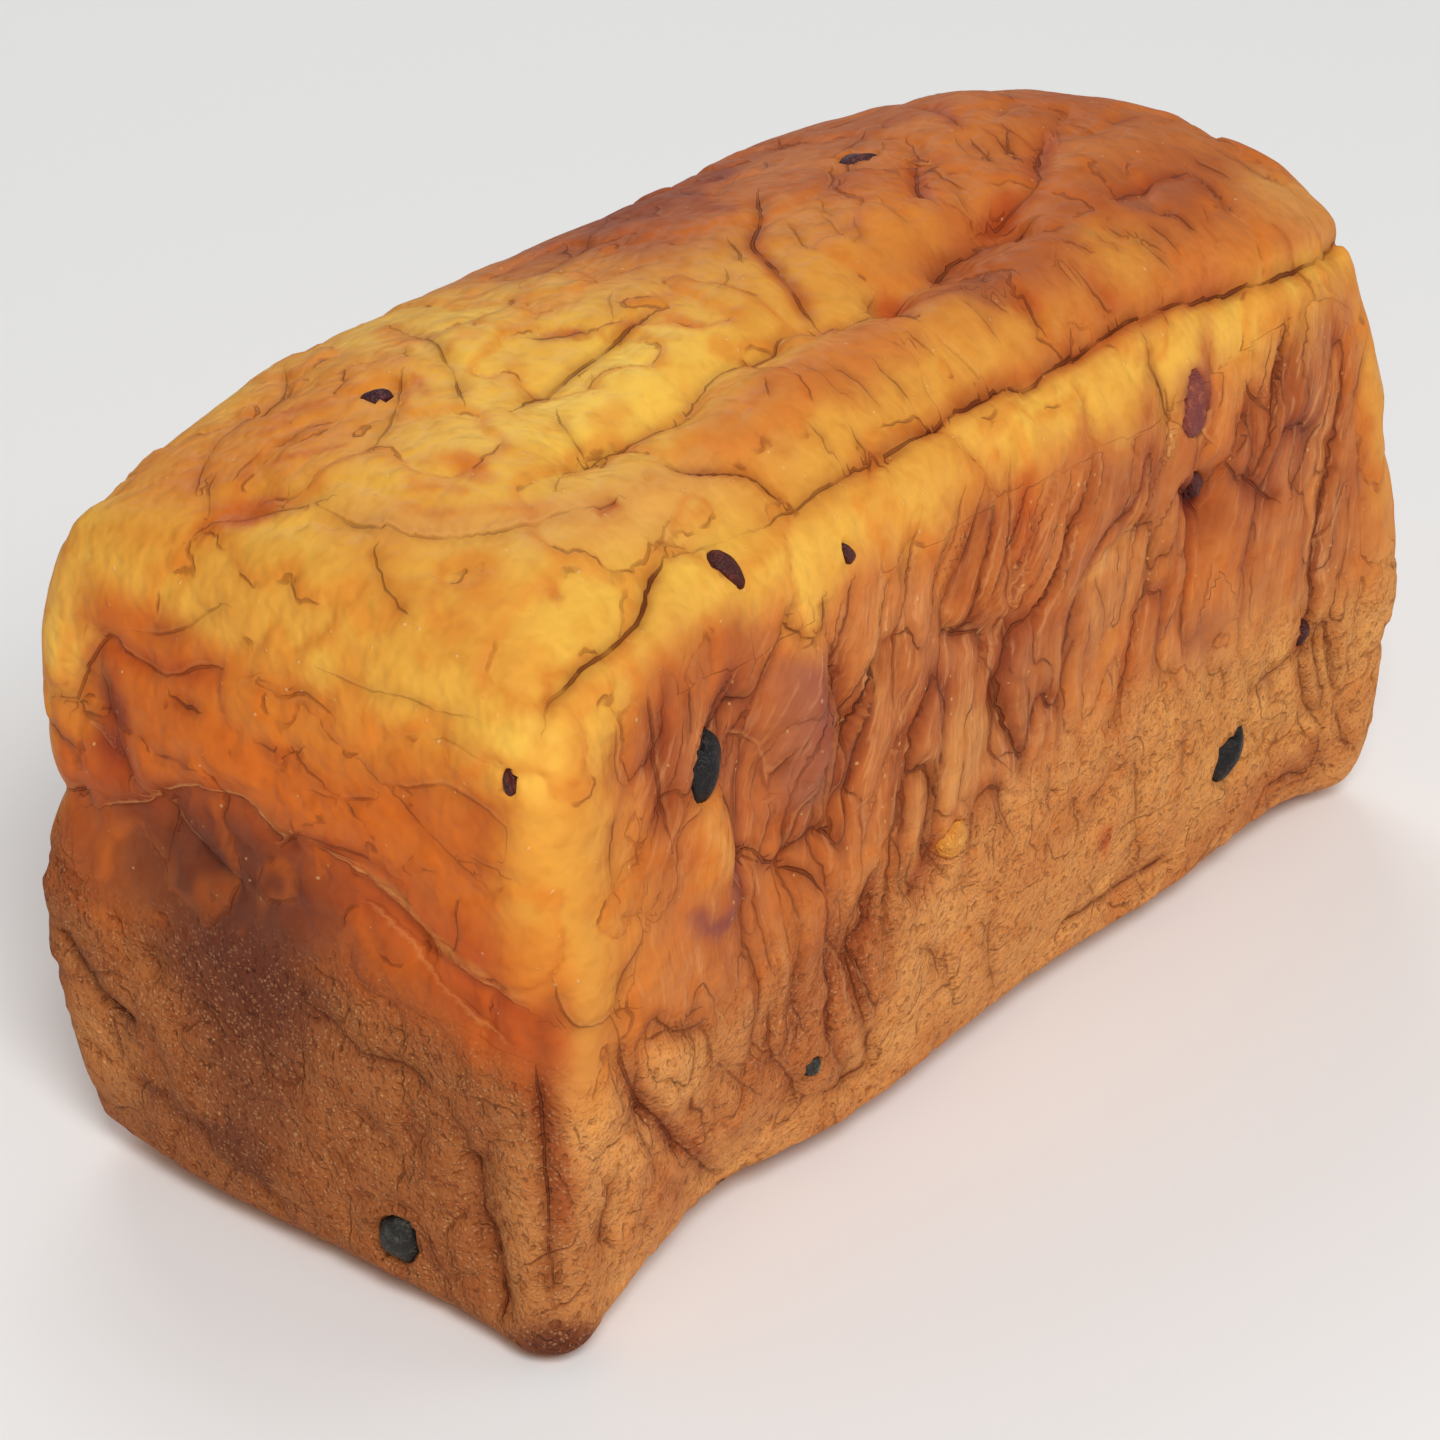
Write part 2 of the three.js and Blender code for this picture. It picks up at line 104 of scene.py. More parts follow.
# Soft noises over the crust: their cells in mm, one size or one along, across and up, and a seed
NOISES = {
    "wander": (9.0, 11),
    "small wander": (3.6, 21),
    "crease strength": (5.0, 31),
    "patch edges": (9.0, 41),
    "skin edge": ((16.0, 30.0, 30.0), 51),
    "pull": ((18.0, 18.0, 26.0), 61),
    "foot of the pull": ((16.0, 30.0, 40.0), 62),
    "flakes": (14.0, 64),
    "wrinkles in layers": ((4.4, 40.0, 15.0), 65),
    "bend": (24.0, 70),
    "layers": ((8.5, 60.0, 34.0), 71),
    "split layers": ((4.25, 30.0, 17.0), 72),
    "dimples": (8.0, 73),
    "waves": (24.0, 74),
    "pores": (2.3, 75),
    "small pores": (1.6, 76),
    "small bend": (9.0, 77),
    "chips": (4.4, 78),
    "wrinkles elsewhere": (8.0, 79),
    "wrinkled places": (17.0, 80),
    "broad hue": (34.0, 81),
    "hue": (18.0, 82),
    "mauve places": (13.0, 83),
    "blotches": (12.0, 84),
    "browned rim": (22.0, 85),
    "tongues of the rim": ((6.0, 60.0, 40.0), 86),
    "stroke edges": (9.0, 91),
    "fruit skin": ((0.7, 0.36, 0.36), 101),  # in half sizes of the fruit
}
NOISE_CELLS = 48  # cells along each axis after which a noise repeats

# Creases, splits and pleats of each face: the depth in mm, how far the crust on the path's left
# lies over its neighbour, how dark its line of painted shade is, and the places of the path
CREASES = {
    "top": [
        (2.6, 0, 1, (-50, -40), (-44, -40), (-33, -39.5), (-20, -40), (-5, -40), (8, -40), (12, -41.5),
         (20, -41), (32, -41), (45, -41.5), (60, -43), (75, -44.5), (85, -44.5), (93, -43.5), (99, -41)),
        (3, 0, 1, (88, -44), (94, -43), (99, -41), (103, -38)),
        (1.8, 0, 1, (-100, -44), (-96, -42.5), (-85, -42), (-76, -41), (-72, -38.5), (-66, -37)),
        (0.7, 0, 0.3, (-68, -37), (-60, -38.5), (-48, -40)),
        (1.7, -0.8, 0.8, (-54, -26), (-51, -29), (-46, -32), (-43, -35), (-42, -39)),
        (2.4, -0.6, 0.6, (-70, -21), (-66, -19), (-58, -18), (-50, -19), (-40, -19.5), (-35, -17.5),
         (-28, -17.5), (-20, -19), (-15, -17.5), (-9, -20), (2, -22), (7, -22), (14, -21)),
        (0.8, 0, 0.7, (3, -22), (3, -25), (2, -29)),
        (1.8, 0, 0.7, (16, -21), (24, -18), (31, -19), (38, -20), (43, -21)),
        (2, 0, 0.6, (32, -17), (40, -16.5), (51, -15), (62, -8), (72, -2)),
        (1.6, 0, 0.6, (32, -11), (35, -5), (41, 0), (46, 3), (51, 9)),
        (1.5, 0, 0.75, (-9, -20), (-5, -12), (0, -3), (2, 1), (8, 4), (14, 9), (20, 14)),
        (0.9, 0.4, 0.8, (-57, -4), (-52, -3), (-46, -2), (-40, -1.5), (-33, -2), (-28, -1), (-23, -2)),
        (0.6, 0, 0.5, (-40, 8), (-36, 5), (-33, 2)),
        (1.1, 0.6, 0.6, (-42, 33), (-45, 26), (-49, 18), (-55, 10), (-60, 2)),
        (0.6, 0, 0.5, (-58, -17), (-56, -12), (-53, -8)),
        (0.9, 0, 0.7, (56, -25), (62, -25), (70, -25.5), (76, -26)),
        (0.5, 0, 0.6, (59, -31), (63, -32), (63, -37)), (0.6, 0, 0.6, (76, -29), (76, -33)),
        (0.8, 0, 0.6, (-92, -9), (-96, -13), (-98, -20)),
        (1.2, 0.9, 0.35, (-90, 4), (-90, -5), (-88, -13), (-84, -19), (-77, -24), (-64, -28)),
        (0.5, 0, 0, (-85, -3), (-84, -12), (-79, -19), (-66, -23)),
        (0.8, 0, 0.45, (-88, 2), (-92, 10), (-96, 18), (-99, 20)),
        (0.6, 0, 0.6, (19, -31), (22, -33), (21, -38)), (0.5, 0, 0.3, (9, -26), (15, -28), (21, -31)),
        (0.5, 0, 0.45, (-58, 16), (-66, 10), (-78, 5)), (0.5, 0, 0.45, (-72, 17), (-80, 20)),
        (0.6, 0, 0.5, (58, 4), (64, 12), (68, 18)), (0.6, 0, 0.4, (34, 5), (38, 10), (42, 13)),
        (0.6, 0, 0.4, (68, -8), (74, -3), (80, 1)), (0.5, 0, 0.5, (82, -7), (90, -8)),
        (0.4, 0, 0.5, (-69, -27), (-65, -28)), (0.8, 0, 0.5, (-24, 27), (-10, 25), (4, 31), (18, 40)),
        (0.9, 0.4, 0.5, (54, 32), (68, 27), (82, 31), (92, 26)),
        (0.9, 0, 0.5, (-92, 24), (-80, 31), (-66, 32), (-56, 40)),
    ],
    "near": [
        (2.2, 1.2, 0.9, (-72, 88), (-66, 90.5), (-60, 89), (-57, 91), (-52, 95), (-49, 98)),
        (1.4, -0.6, 0.8, (-69, 79), (-67, 76), (-66, 72), (-63, 66), (-60, 64)),
        (2, 0.8, 0.9, (-67, 64), (-61, 66), (-58, 62), (-54, 61), (-47, 62), (-42, 58)),
        (1.6, 0, 1, (-49, 99), (-50, 95.5), (-47, 92)), (0.9, 0, 0.8, (-43, 97), (-44, 93), (-48, 91.5)),
        (1.6, 0, 1, (-53, 58.5), (-49, 56.5), (-46, 52)),
        (1.8, -0.8, 0.55, (-44, 91), (-43, 84), (-41, 74), (-42, 68), (-45, 62)),
        (1.6, 0, 0.85, (-33, 51), (-34, 46), (-33, 41), (-39, 38.5)),
        (1.2, 0.7, 0.5, (-19, 101), (-23, 95), (-28, 89), (-30, 81), (-29, 72)),
        (2.2, 0.9, 0.8, (-5, 99), (-10, 93), (-14, 88), (-17, 84), (-16, 80), (-12, 78), (-8, 77),
         (-7, 72), (-5, 68), (-4, 62), (-5, 57), (0, 51)),
        (1.5, 0.8, 0.5, (3, 101), (0, 93), (-2, 87), (-2, 79)),
        (0.8, 0.4, 0.35, (-9, 100), (-13, 94), (-17, 89)),
        (2.6, 0, 0.8, (42, 81), (46, 78), (49, 75), (51, 72), (50, 67)),
        (0.9, 0.9, 0.25, (18, 76), (25, 78), (32, 80), (38, 86), (43, 91), (52, 83)),
        (0.8, 0, 0.8, (54, 81), (56, 78), (58, 75)),
        (1.4, 0.6, 0.8, (58, 77), (62, 74), (65, 71), (69, 68)),
        (1.4, -0.6, 0.7, (72, 68), (77, 72), (82, 77)), (0.8, 0, 0.7, (60, 91), (62, 88), (65, 85)),
        (2.2, 0.9, 0.8, (-92, 54), (-90, 46), (-89, 42), (-86, 37), (-80, 30), (-73, 22), (-66, 14),
         (-60, 9)), (1.3, 0.5, 0.5, (-60, 42), (-58, 38), (-56, 30), (-50, 22), (-45, 11)),
        (0.9, 0, 0.65, (65, 35), (72, 36.5), (79, 38)), (0.6, 0, 0.7, (-91, 85), (-92, 78), (-91, 72)),
        (1.3, 0.6, 0.6, (-81, 100), (-82, 92), (-82, 86), (-81, 76)),
        (1.4, 0, 0.8, (-92, 28), (-94, 22), (-94, 17)), (1.2, 0, 0.9, (-31, 22), (-31, 18), (-29, 14)),
        (0.7, 0, 0.6, (-86, 48), (-82, 47), (-75, 48)),
        (0.8, 0, 0.75, (39, 105), (39, 99), (39, 95), (41, 91)),
        (0.6, 0, 0.5, (20, 75), (22, 69), (24, 62)), (0.6, 0, 0.6, (-73, 96), (-74, 93), (-75, 90)),
        (0.9, 0.5, 0.4, (-102, 64), (-101, 58), (-97, 55), (-88, 54)),
        (0.7, 0, 0.5, (-22, 31), (-17, 28), (-14, 22)), (0.8, 0.4, 0.45, (89, 62), (88, 54), (86, 47)),
        (0.6, 0, 0.5, (-62, 60), (-60, 52), (-58, 45)), (0.6, 0, 0.5, (-24, 50), (-25, 44), (-20, 40)),
        (0.8, 0.5, 0.3, (26, 60), (30, 52), (28, 44)), (0.8, 0, 0.5, (-70, 36), (-64, 30), (-58, 24)),
        (0.7, 0, 0.5, (-4, 30), (-3, 22), (2, 12)), (0.9, 0.6, 0.3, (-66, 86), (-58, 80), (-56, 70)),
        (0.7, 0, 0.5, (33, 40), (34, 30), (38, 20)),
    ],
    "browned": [
        (1.3, 0.5, 0.5, (40, 75), (37, 81), (34, 87), (31, 91), (29, 89), (23, 88), (18, 89), (12, 93),
         (7, 93)), (0.9, 0.4, 0.45, (27, 93), (21, 94), (16, 97), (13, 100), (9, 102)),
        (0.7, 0.3, 0.3, (-9, 99), (-16, 98), (-23, 99), (-29, 99), (-36, 99)),
        (0.7, 0, 0.5, (3, 85), (-2, 84), (-6, 86)), (0.6, 0, 0.7, (13, 86), (16, 85), (19, 86)),
        (0.8, 0.4, 0.3, (-19, 86), (-24, 86), (-30, 89), (-37, 88), (-41, 86), (-41, 82)),
        (1.5, -1.4, 0.3, (-47, 56), (-45, 58), (-30, 62), (-20, 67), (-13, 70), (-5, 71), (0, 69),
         (6, 74), (16, 72), (26, 66), (40, 60)), (1.6, 0, 1, (-45, 50), (-45.5, 40), (-46, 22), (-47, 8)),
        (2.6, 0, 1, (-32.5, 34), (-34, 26), (-37, 14), (-38, 6)),
        (2.2, 0.6, 0.9, (45, 40), (40, 38), (34, 31), (28, 29)),
        (0.9, 0.5, 0.2, (44, 80), (30, 72), (18, 64), (4, 58)),
        (0.9, 0.5, 0.2, (-44, 52), (-32, 57), (-22, 63), (-14, 66)),
        (0.6, 0, 0.4, (32, 20), (24, 18), (18, 17), (10, 16)),
        (1.3, 0.5, 0.7, (-4, 46), (-8, 44), (-15, 42), (-22, 42), (-27, 40)),
        (1.9, 0.6, 0.5, (51, 60), (44, 61), (37, 64)),
        (1.2, 0.4, 0.4, (33, 85), (32, 79), (29, 73), (29, 68)),
        (0.8, 0, 0.4, (22, 71), (21, 64), (22, 57)),
        (0.6, 0, 0.5, (0, 68), (-5, 72), (-14, 73), (-22, 71)),
        (0.5, 0, 0.35, (-16, 88), (-26, 82), (-38, 76)), (0.9, 0, 0.7, (26, 44), (25, 41), (23, 39)),
        (0.7, 0, 0.6, (11, 16), (9, 14), (5, 14)),
    ],
    "back": [
        (2, 0.8, 0.7, (74, 99), (70, 88), (66, 74), (69, 62), (72, 50)),
        (2, 0.9, 0.7, (14, 100), (9, 88), (8, 78), (13, 66), (14, 58), (9, 44), (10, 34)),
        (1.8, 0, 0.6, (-60, 98), (-56, 88), (-52, 76), (-56, 64), (-57, 54)),
        (2, 0.8, 0.7, (-88, 50), (-80, 40), (-72, 30), (-68, 20), (-66, 12)),
        (1, 0.5, 0.5, (40, 98), (36, 90), (34, 80), (37, 66)),
        (0.9, 0, 0.6, (-20, 96), (-24, 86), (-22, 76)),
        (1, 0.6, 0.5, (-34, 64), (-26, 60), (-16, 62), (-8, 56)),
        (0.9, 0, 0.6, (88, 70), (84, 60), (86, 48), (82, 38)),
        (0.8, 0, 0.7, (30, 46), (36, 42), (46, 44)), (0.9, 0.4, 0.5, (-98, 72), (-92, 66), (-84, 68)),
        (0.8, 0, 0.6, (56, 30), (60, 22), (58, 12)), (0.7, 0, 0.6, (-30, 26), (-24, 20), (-26, 12)),
    ],
    "far": [
        (1.6, -1.3, 0.35, (-46, 64), (-34, 70), (-16, 74), (0, 71), (14, 70), (30, 63), (44, 60)),
        (1.4, 0.4, 0.7, (20, 45), (10, 40), (-2, 38), (-12, 41), (-22, 42)),
        (1, 0, 0.6, (-34, 92), (-30, 84), (-33, 76)), (0.9, 0.4, 0.5, (8, 97), (20, 93), (32, 95)),
        (1, 0, 0.7, (34, 40), (30, 30), (33, 18)), (0.8, 0, 0.6, (-36, 34), (-32, 24), (-35, 14)),
    ],
}
GROOVE_WIDTH = 1.5  # of the cut itself, at a share 1 - VALLEY_SHARE of the depth
VALLEY_WIDTH = 4.2  # of the soft valley that the cut lies in
VALLEY_SHARE = 0.5
FLAP_RISE = 1.2
FLAP_REACH = 6.5
CREASE_REACH = 10.0
WANDER = (0.6, 0.22)  # how far creases stray from their paths, by the two noises
FAINTEST_LINE = 0.1  # a crease less dark than this has no line of its own
LINE_HALF_WIDTH = (0.13, 0.34)  # of the dark line of painted shade, faint and dark
LINE_LIMIT = 6.0  # the most that the line's own measure says
EDGE_LIMIT = 8.0  # the most that a distance from an edge says
ENDS_SHARE = 0.14  # share of a crease over which it runs out at its ends
SHADE_WIDTH = 1.2  # of the band of painted shade that a crease lies in

# Pleats too many to name: the face, how many, the lowest and highest place of their middles in
# the face's two axes, the angle of their run, the shortest and longest, and the deepest
PLEATS = [
    ("near", 34, (-94, 56), (94, 92), 62, (8, 22), 1.0),
    ("near", 30, (-96, 12), (96, 46), 112, (6, 16), 0.9),
    ("back", 34, (-94, 56), (94, 92), 62, (8, 22), 1.0),
    ("back", 30, (-96, 12), (96, 46), 112, (6, 16), 0.9),
    ("browned", 16, (-44, 52), (44, 96), 8, (6, 18), 0.6),
    ("browned", 14, (-44, 8), (44, 46), 50, (4, 10), 0.7),
    ("far", 16, (-44, 52), (44, 96), -8, (6, 18), 0.7),
    ("far", 14, (-44, 8), (44, 46), 60, (4, 10), 0.7),
    ("top", 44, (-94, -36), (94, 40), 34, (3, 9), 0.6),
    ("top", 30, (-30, -39), (92, -25), 104, (3, 9), 0.7),
    ("top", 26, (6, -16), (90, 36), 62, (4, 14), 0.8),
]
PLEAT_SEED = 17
PLEAT_PLACES = 4  # along each path
PLEAT_TURN = 13.0  # degrees by which they usually stray from the face's angle
PLEAT_SWAY = 0.09  # of half their length
PLEAT_FLAP = 0.8  # of their depth
DARKEST_PLEAT = 0.6

# Layers of dough pulled up the long sides: how they bend away from upright at the foot and the
# rim, how high they stand over the crevices between, and the chips of their backs
LAYER_BEND = 0.0085
LAYER_MIDDLE = 54.0
BEND_REACH = (4.0, 1.2)  # how far the two noises move the layers along the loaf
LAYER_HEIGHT = 1.9
LAYER_STEP = 0.8  # how much higher every other layer lies than those between
CREVICE = 1.3  # distance from a crevice at which its wall has done most of its rise
CHIP_HEIGHT = 0.35
LAYERED = 0.3  # share of fibre from which the edges and wrinkles are those of the layers

# Wrinkles between the crevices, and flakes of the skin elsewhere, with a ledge at their edge and a
# groove along it
WRINKLE_DEPTH = 0.7
WRINKLE_WIDTH = 0.8
FLAKE_HEIGHT = 0.5
FLAKE_GROOVE = 0.4

# Unevenness all over, and the pores of the lower crust
DIMPLE_HEIGHT = 0.42
PORE_DEPTH = 0.2

# Edge of the smooth skin, above the porous crumb-like crust: its height over Y on the ends, and
# its height on the long sides, how uneven it is, and how far it fades
SKIN_EDGE = [(-50, 46), (-46, 47), (-27, 50), (-10, 56), (9, 52), (34, 47), (45, 59), (50, 60)]
SKIN_EDGE_ON_SIDES = 47.0
SKIN_UNEVEN = 14.0
SKIN_UNEVEN_ON_ENDS = 0.4  # share of it
SKIN_FADE = (16.0, 12.0)  # on the long sides and on the ends

# Where the dough was pulled into fibres: it stops short of the ends, and its foot lies low beyond
# the two stretches given, and high between them
FIBRE_ENDS = (80.0, 98.0)
FIBRE_FOOT = 4.0
FIBRE_LIFT = 26.0
FIBRE_LIFT_STARTS = (-45.0, -12.0)
FIBRE_LIFT_STOPS = (66.0, 84.0)
FIBRE_UNEVEN = 14.0
FIBRE_FADE = (-4.0, 34.0)
FIBRE_RIM = (88.0, 102.0)

# Small lumps and hollows of each face: the middle, the two radii and the height
LUMPS = {
    "near": [
        ((-61, 78), (9, 11), -2.4),  # pocket behind the torn flap
        ((-52, 58), (4, 3), -1.8), ((-33, 44), (4, 6), -1.4), ((-72, 72), (5, 6), 1.5),
        ((-48, 80), (4, 13), 1.6), ((-66, 61), (7, 3), 0.9), ((-16, 60), (9, 7), 1.4),
        ((15, 68), (9, 7), 1.1), ((30, 86), (8, 6), 0.9), ((47, 94), (4, 4.5), 1),
        ((50, 73), (5, 8), -2.6), ((62, 82), (8, 6), 0.8), ((78, 62), (7, 9), 0.9),
        ((-25, 84), (4, 12), 0.9), ((-36, 82), (4, 14), 0.8), ((-41, 44), (8, 7), -1.2),
        ((-87, 86), (5, 13), -0.9), ((-21, 43), (4, 4), -0.9), ((40, 30), (14, 9), 0.8),
        ((3, 30), (10, 12), 0.7), ((-78, 40), (7, 6), 0.8), ((-53, 48), (6, 6), 0.7),
    ],
    "top": [
        ((-34, -18.5), (30, 5), -1.5),  # valley between the lobe and the sunken dough
        ((20, -19), (22, 5), -1.2), ((62, -7), (20, 6), -1.4),
        ((4, -31), (46, 6), 1),  # back of the near lobe
        ((-80, -30), (16, 9), 0.8), ((-28, 6), (9, 9), 0.9), ((2, 14), (8, 14), 0.8),
        ((-66, 22), (14, 9), 0.8), ((74, 16), (12, 8), 0.9), ((-60, -31), (10, 5), 0.9),
        ((-40, -10), (10, 6), 1), ((-30, -29), (14, 6), 0.8), ((8, -30), (10, 5), 0.8),
        ((34, -30), (10, 6), 0.9), ((66, -34), (12, 6), 0.9), ((7, -22), (3.5, 3), -1.2),
        ((40, -17), (9, 4), -1.2), ((-93, 15), (3, 5), -1.3), ((-76, -9), (3, 5), -0.8),
        ((18, -8), (10, 9), 1), ((-70, -8), (6, 8), 0.7), ((60, 8), (12, 9), 0.7),
    ],
    "browned": [
        ((10, 64), (12, 6), -0.8), ((32, 78), (4, 6), -1), ((-20, 78), (14, 5), 0.8),
        ((14, 80), (10, 6), 0.9), ((-36, 24), (4, 10), -0.8), ((24, 36), (10, 6), 0.6),
    ],
    "back": [
        ((30, 82), (10, 10), 1), ((-30, 80), (12, 10), 0.9), ((70, 40), (12, 9), 0.8),
        ((-74, 60), (8, 9), -1),
    ],
    "far": [
        ((0, 84), (16, 7), 0.9), ((-20, 54), (12, 8), 0.8),
    ],
}

# Raisins and scraps of fruit: the face, the place, the size (long, wide and thick), the long
# axis's angle on the face, how far the piece stands out, how much it narrows towards the end
# that the axis points to, and its skin
RAISINS = {
    "raisin_in_pocket": ("near", (-72, 83.5), (11, 6.2, 6), 80, 1.5, 0.15, "black"),
    "raisin_near_low": ("near", (62, 26), (11.5, 7.0, 6), 62, 1.2, 0.75, "black"),
    "raisin_at_browned_foot": ("browned", (-18.5, 11.5), (9.5, 7.4, 6), 118, 1.2, 0.15, "bloomed"),
    "raisin_on_shoulder": ("top", (-58, -42), (7.0, 3.9, 3.6), -78, 0.7, 0.2, "maroon"),
    "raisin_on_crown": ("top", (41.5, 11), (6.4, 3.6, 3.6), -45, 0.9, 0.2, "plum"),
    "raisin_under_skin": ("near", (46, 93), (10.5, 5.6, 5), 72, 0.4, 0.2, "skinned"),
    "raisin_back_high": ("back", (38, 72), (9.5, 5.6, 5.4), 78, 1.2, 0.1, "black"),
    "raisin_back_low": ("back", (-38, 34), (9, 6.4, 5.6), 110, 1.2, 0.2, "bloomed"),
    "raisin_on_far_end": ("far", (14, 54), (9, 6, 5.6), 64, 1.2, 0.2, "black"),
}
SCRAPS = [
    ("near", (49, 78), (6, 3.6, 4), 110, 0.9, 0.3, "maroon"),
    ("near", (-36, 100), (3.3, 2.2, 3), 100, 0.8, 0.2, "maroon"),
    ("browned", (-41, 92.5), (3.8, 1.9, 3), 70, 0.7, 0.2, "maroon"),
    ("top", (-64.5, 15), (4.8, 2.6, 3), -60, 0.8, 0.2, "plum"),
    ("near", (-46, 22), (3.6, 2.8, 3), 90, 0.8, 0.2, "bloomed"),
    ("near", (80, 40), (5, 3, 3.4), 70, 0.8, 0.3, "maroon"),
    ("back", (2, 86), (4.6, 3, 3.2), 80, 0.8, 0.2, "maroon"),
]
PEEL = ("near", (-15, 46.5), (6.4, 6, 4.8), 20, 1.3, 0.0, "peel")
FURROWS = 5
FURROW_DEPTH = 0.07
BULGES = 4
BULGE_DEPTH = 0.05
WRINKLED = 0.05  # height of the fruit's own wrinkles, in half sizes

# How the crust holds the fruit: how many of its nearest points give the outward direction and the
# height, and in half sizes of the piece, how far the pocket and its lip reach beside and above it,
# how deep the pocket is, and where its edge and its lip lie
NEAREST_POINTS = (30, 6)
POCKET_REACH = (1.9, 2.5)
POCKET_DEPTH = 0.35
POCKET_EDGE = (0.8, 1.04)
LIP_MIDDLE = 1.3
LIP_WIDTH = 0.22
LIP_HEIGHT = 0.35  # in mm

# Skins of the fruit: the material's name, the dark and the pale colour, and the roughness
SKINS = {
    "black": ("raisin_black", (14, 11, 12), (44, 38, 36), 0.5),
    "bloomed": ("raisin_bloomed", (34, 32, 28), (84, 84, 74), 0.5),
    "maroon": ("raisin_maroon", (64, 20, 18), (104, 42, 32), 0.5),
    "plum": ("raisin_plum", (62, 28, 34), (110, 60, 58), 0.5),
    "skinned": ("raisin_under_skin", (120, 54, 48), (166, 90, 60), 0.6),
    "peel": ("candied_peel", (212, 134, 44), (240, 176, 78), 0.45),
}

# Colours of the crust as the eye sees them in plain light, from 0 to 255
COLOURS = {
    "yolk": (246, 200, 92),
    "gold": (236, 183, 80),
    "honey": (226, 160, 68),
    "straw": (222, 160, 92),
    "orange": (222, 138, 52),
    "burnt orange": (212, 108, 34),
    "rust": (186, 78, 30),
    "amber": (206, 120, 58),
    "copper": (194, 112, 58),
    "tan": (209, 142, 84),
    # painted highlight on the backs of the pulled layers
    "painted layer highlight": (220, 154, 96),
    "crumb tan": (218, 150, 92),
    "crumb brown": (162, 96, 56),
    "chestnut": (170, 86, 46),
    "red brown": (146, 66, 33),
    "dark red": (122, 40, 26),
    "scorch": (98, 50, 38),
    "mauve": (164, 98, 78),
    "purple": (140, 72, 76),
    "pale strand": (228, 162, 104),
    "grain": (222, 160, 108),
    # painted glints
    "painted glint": (250, 196, 130),
    # painted highlight on the ridge of a flap
    "lit ridge": (240, 172, 104),
    # painted shade at the bottom of the creases, crevices and folds
    "shade_line": (112, 48, 16),
}

# What colours are multiplied by: in a browned layer, as painted shade in a crevice, and finer
# than the mesh, where the crust is browner, paler or spotted, in its ropes and strands of dough,
# and in its pores
TINTS = {
    "browned layer": (0.9, 0.83, 0.8),
    # painted shade of the crevices, wrinkles and creases
    "crevice_shade": (0.66, 0.52, 0.42),
    "browner": (0.93, 0.8, 0.7),
    "paler": (1.08, 1.1, 1.06),
    "spots": (0.9, 0.78, 0.66),
    "ropes": (0.84, 0.7, 0.6),
    "strands": (0.72, 0.58, 0.48),
    "pores": (0.7, 0.56, 0.46),
    "pits": (0.6, 0.44, 0.34),
}
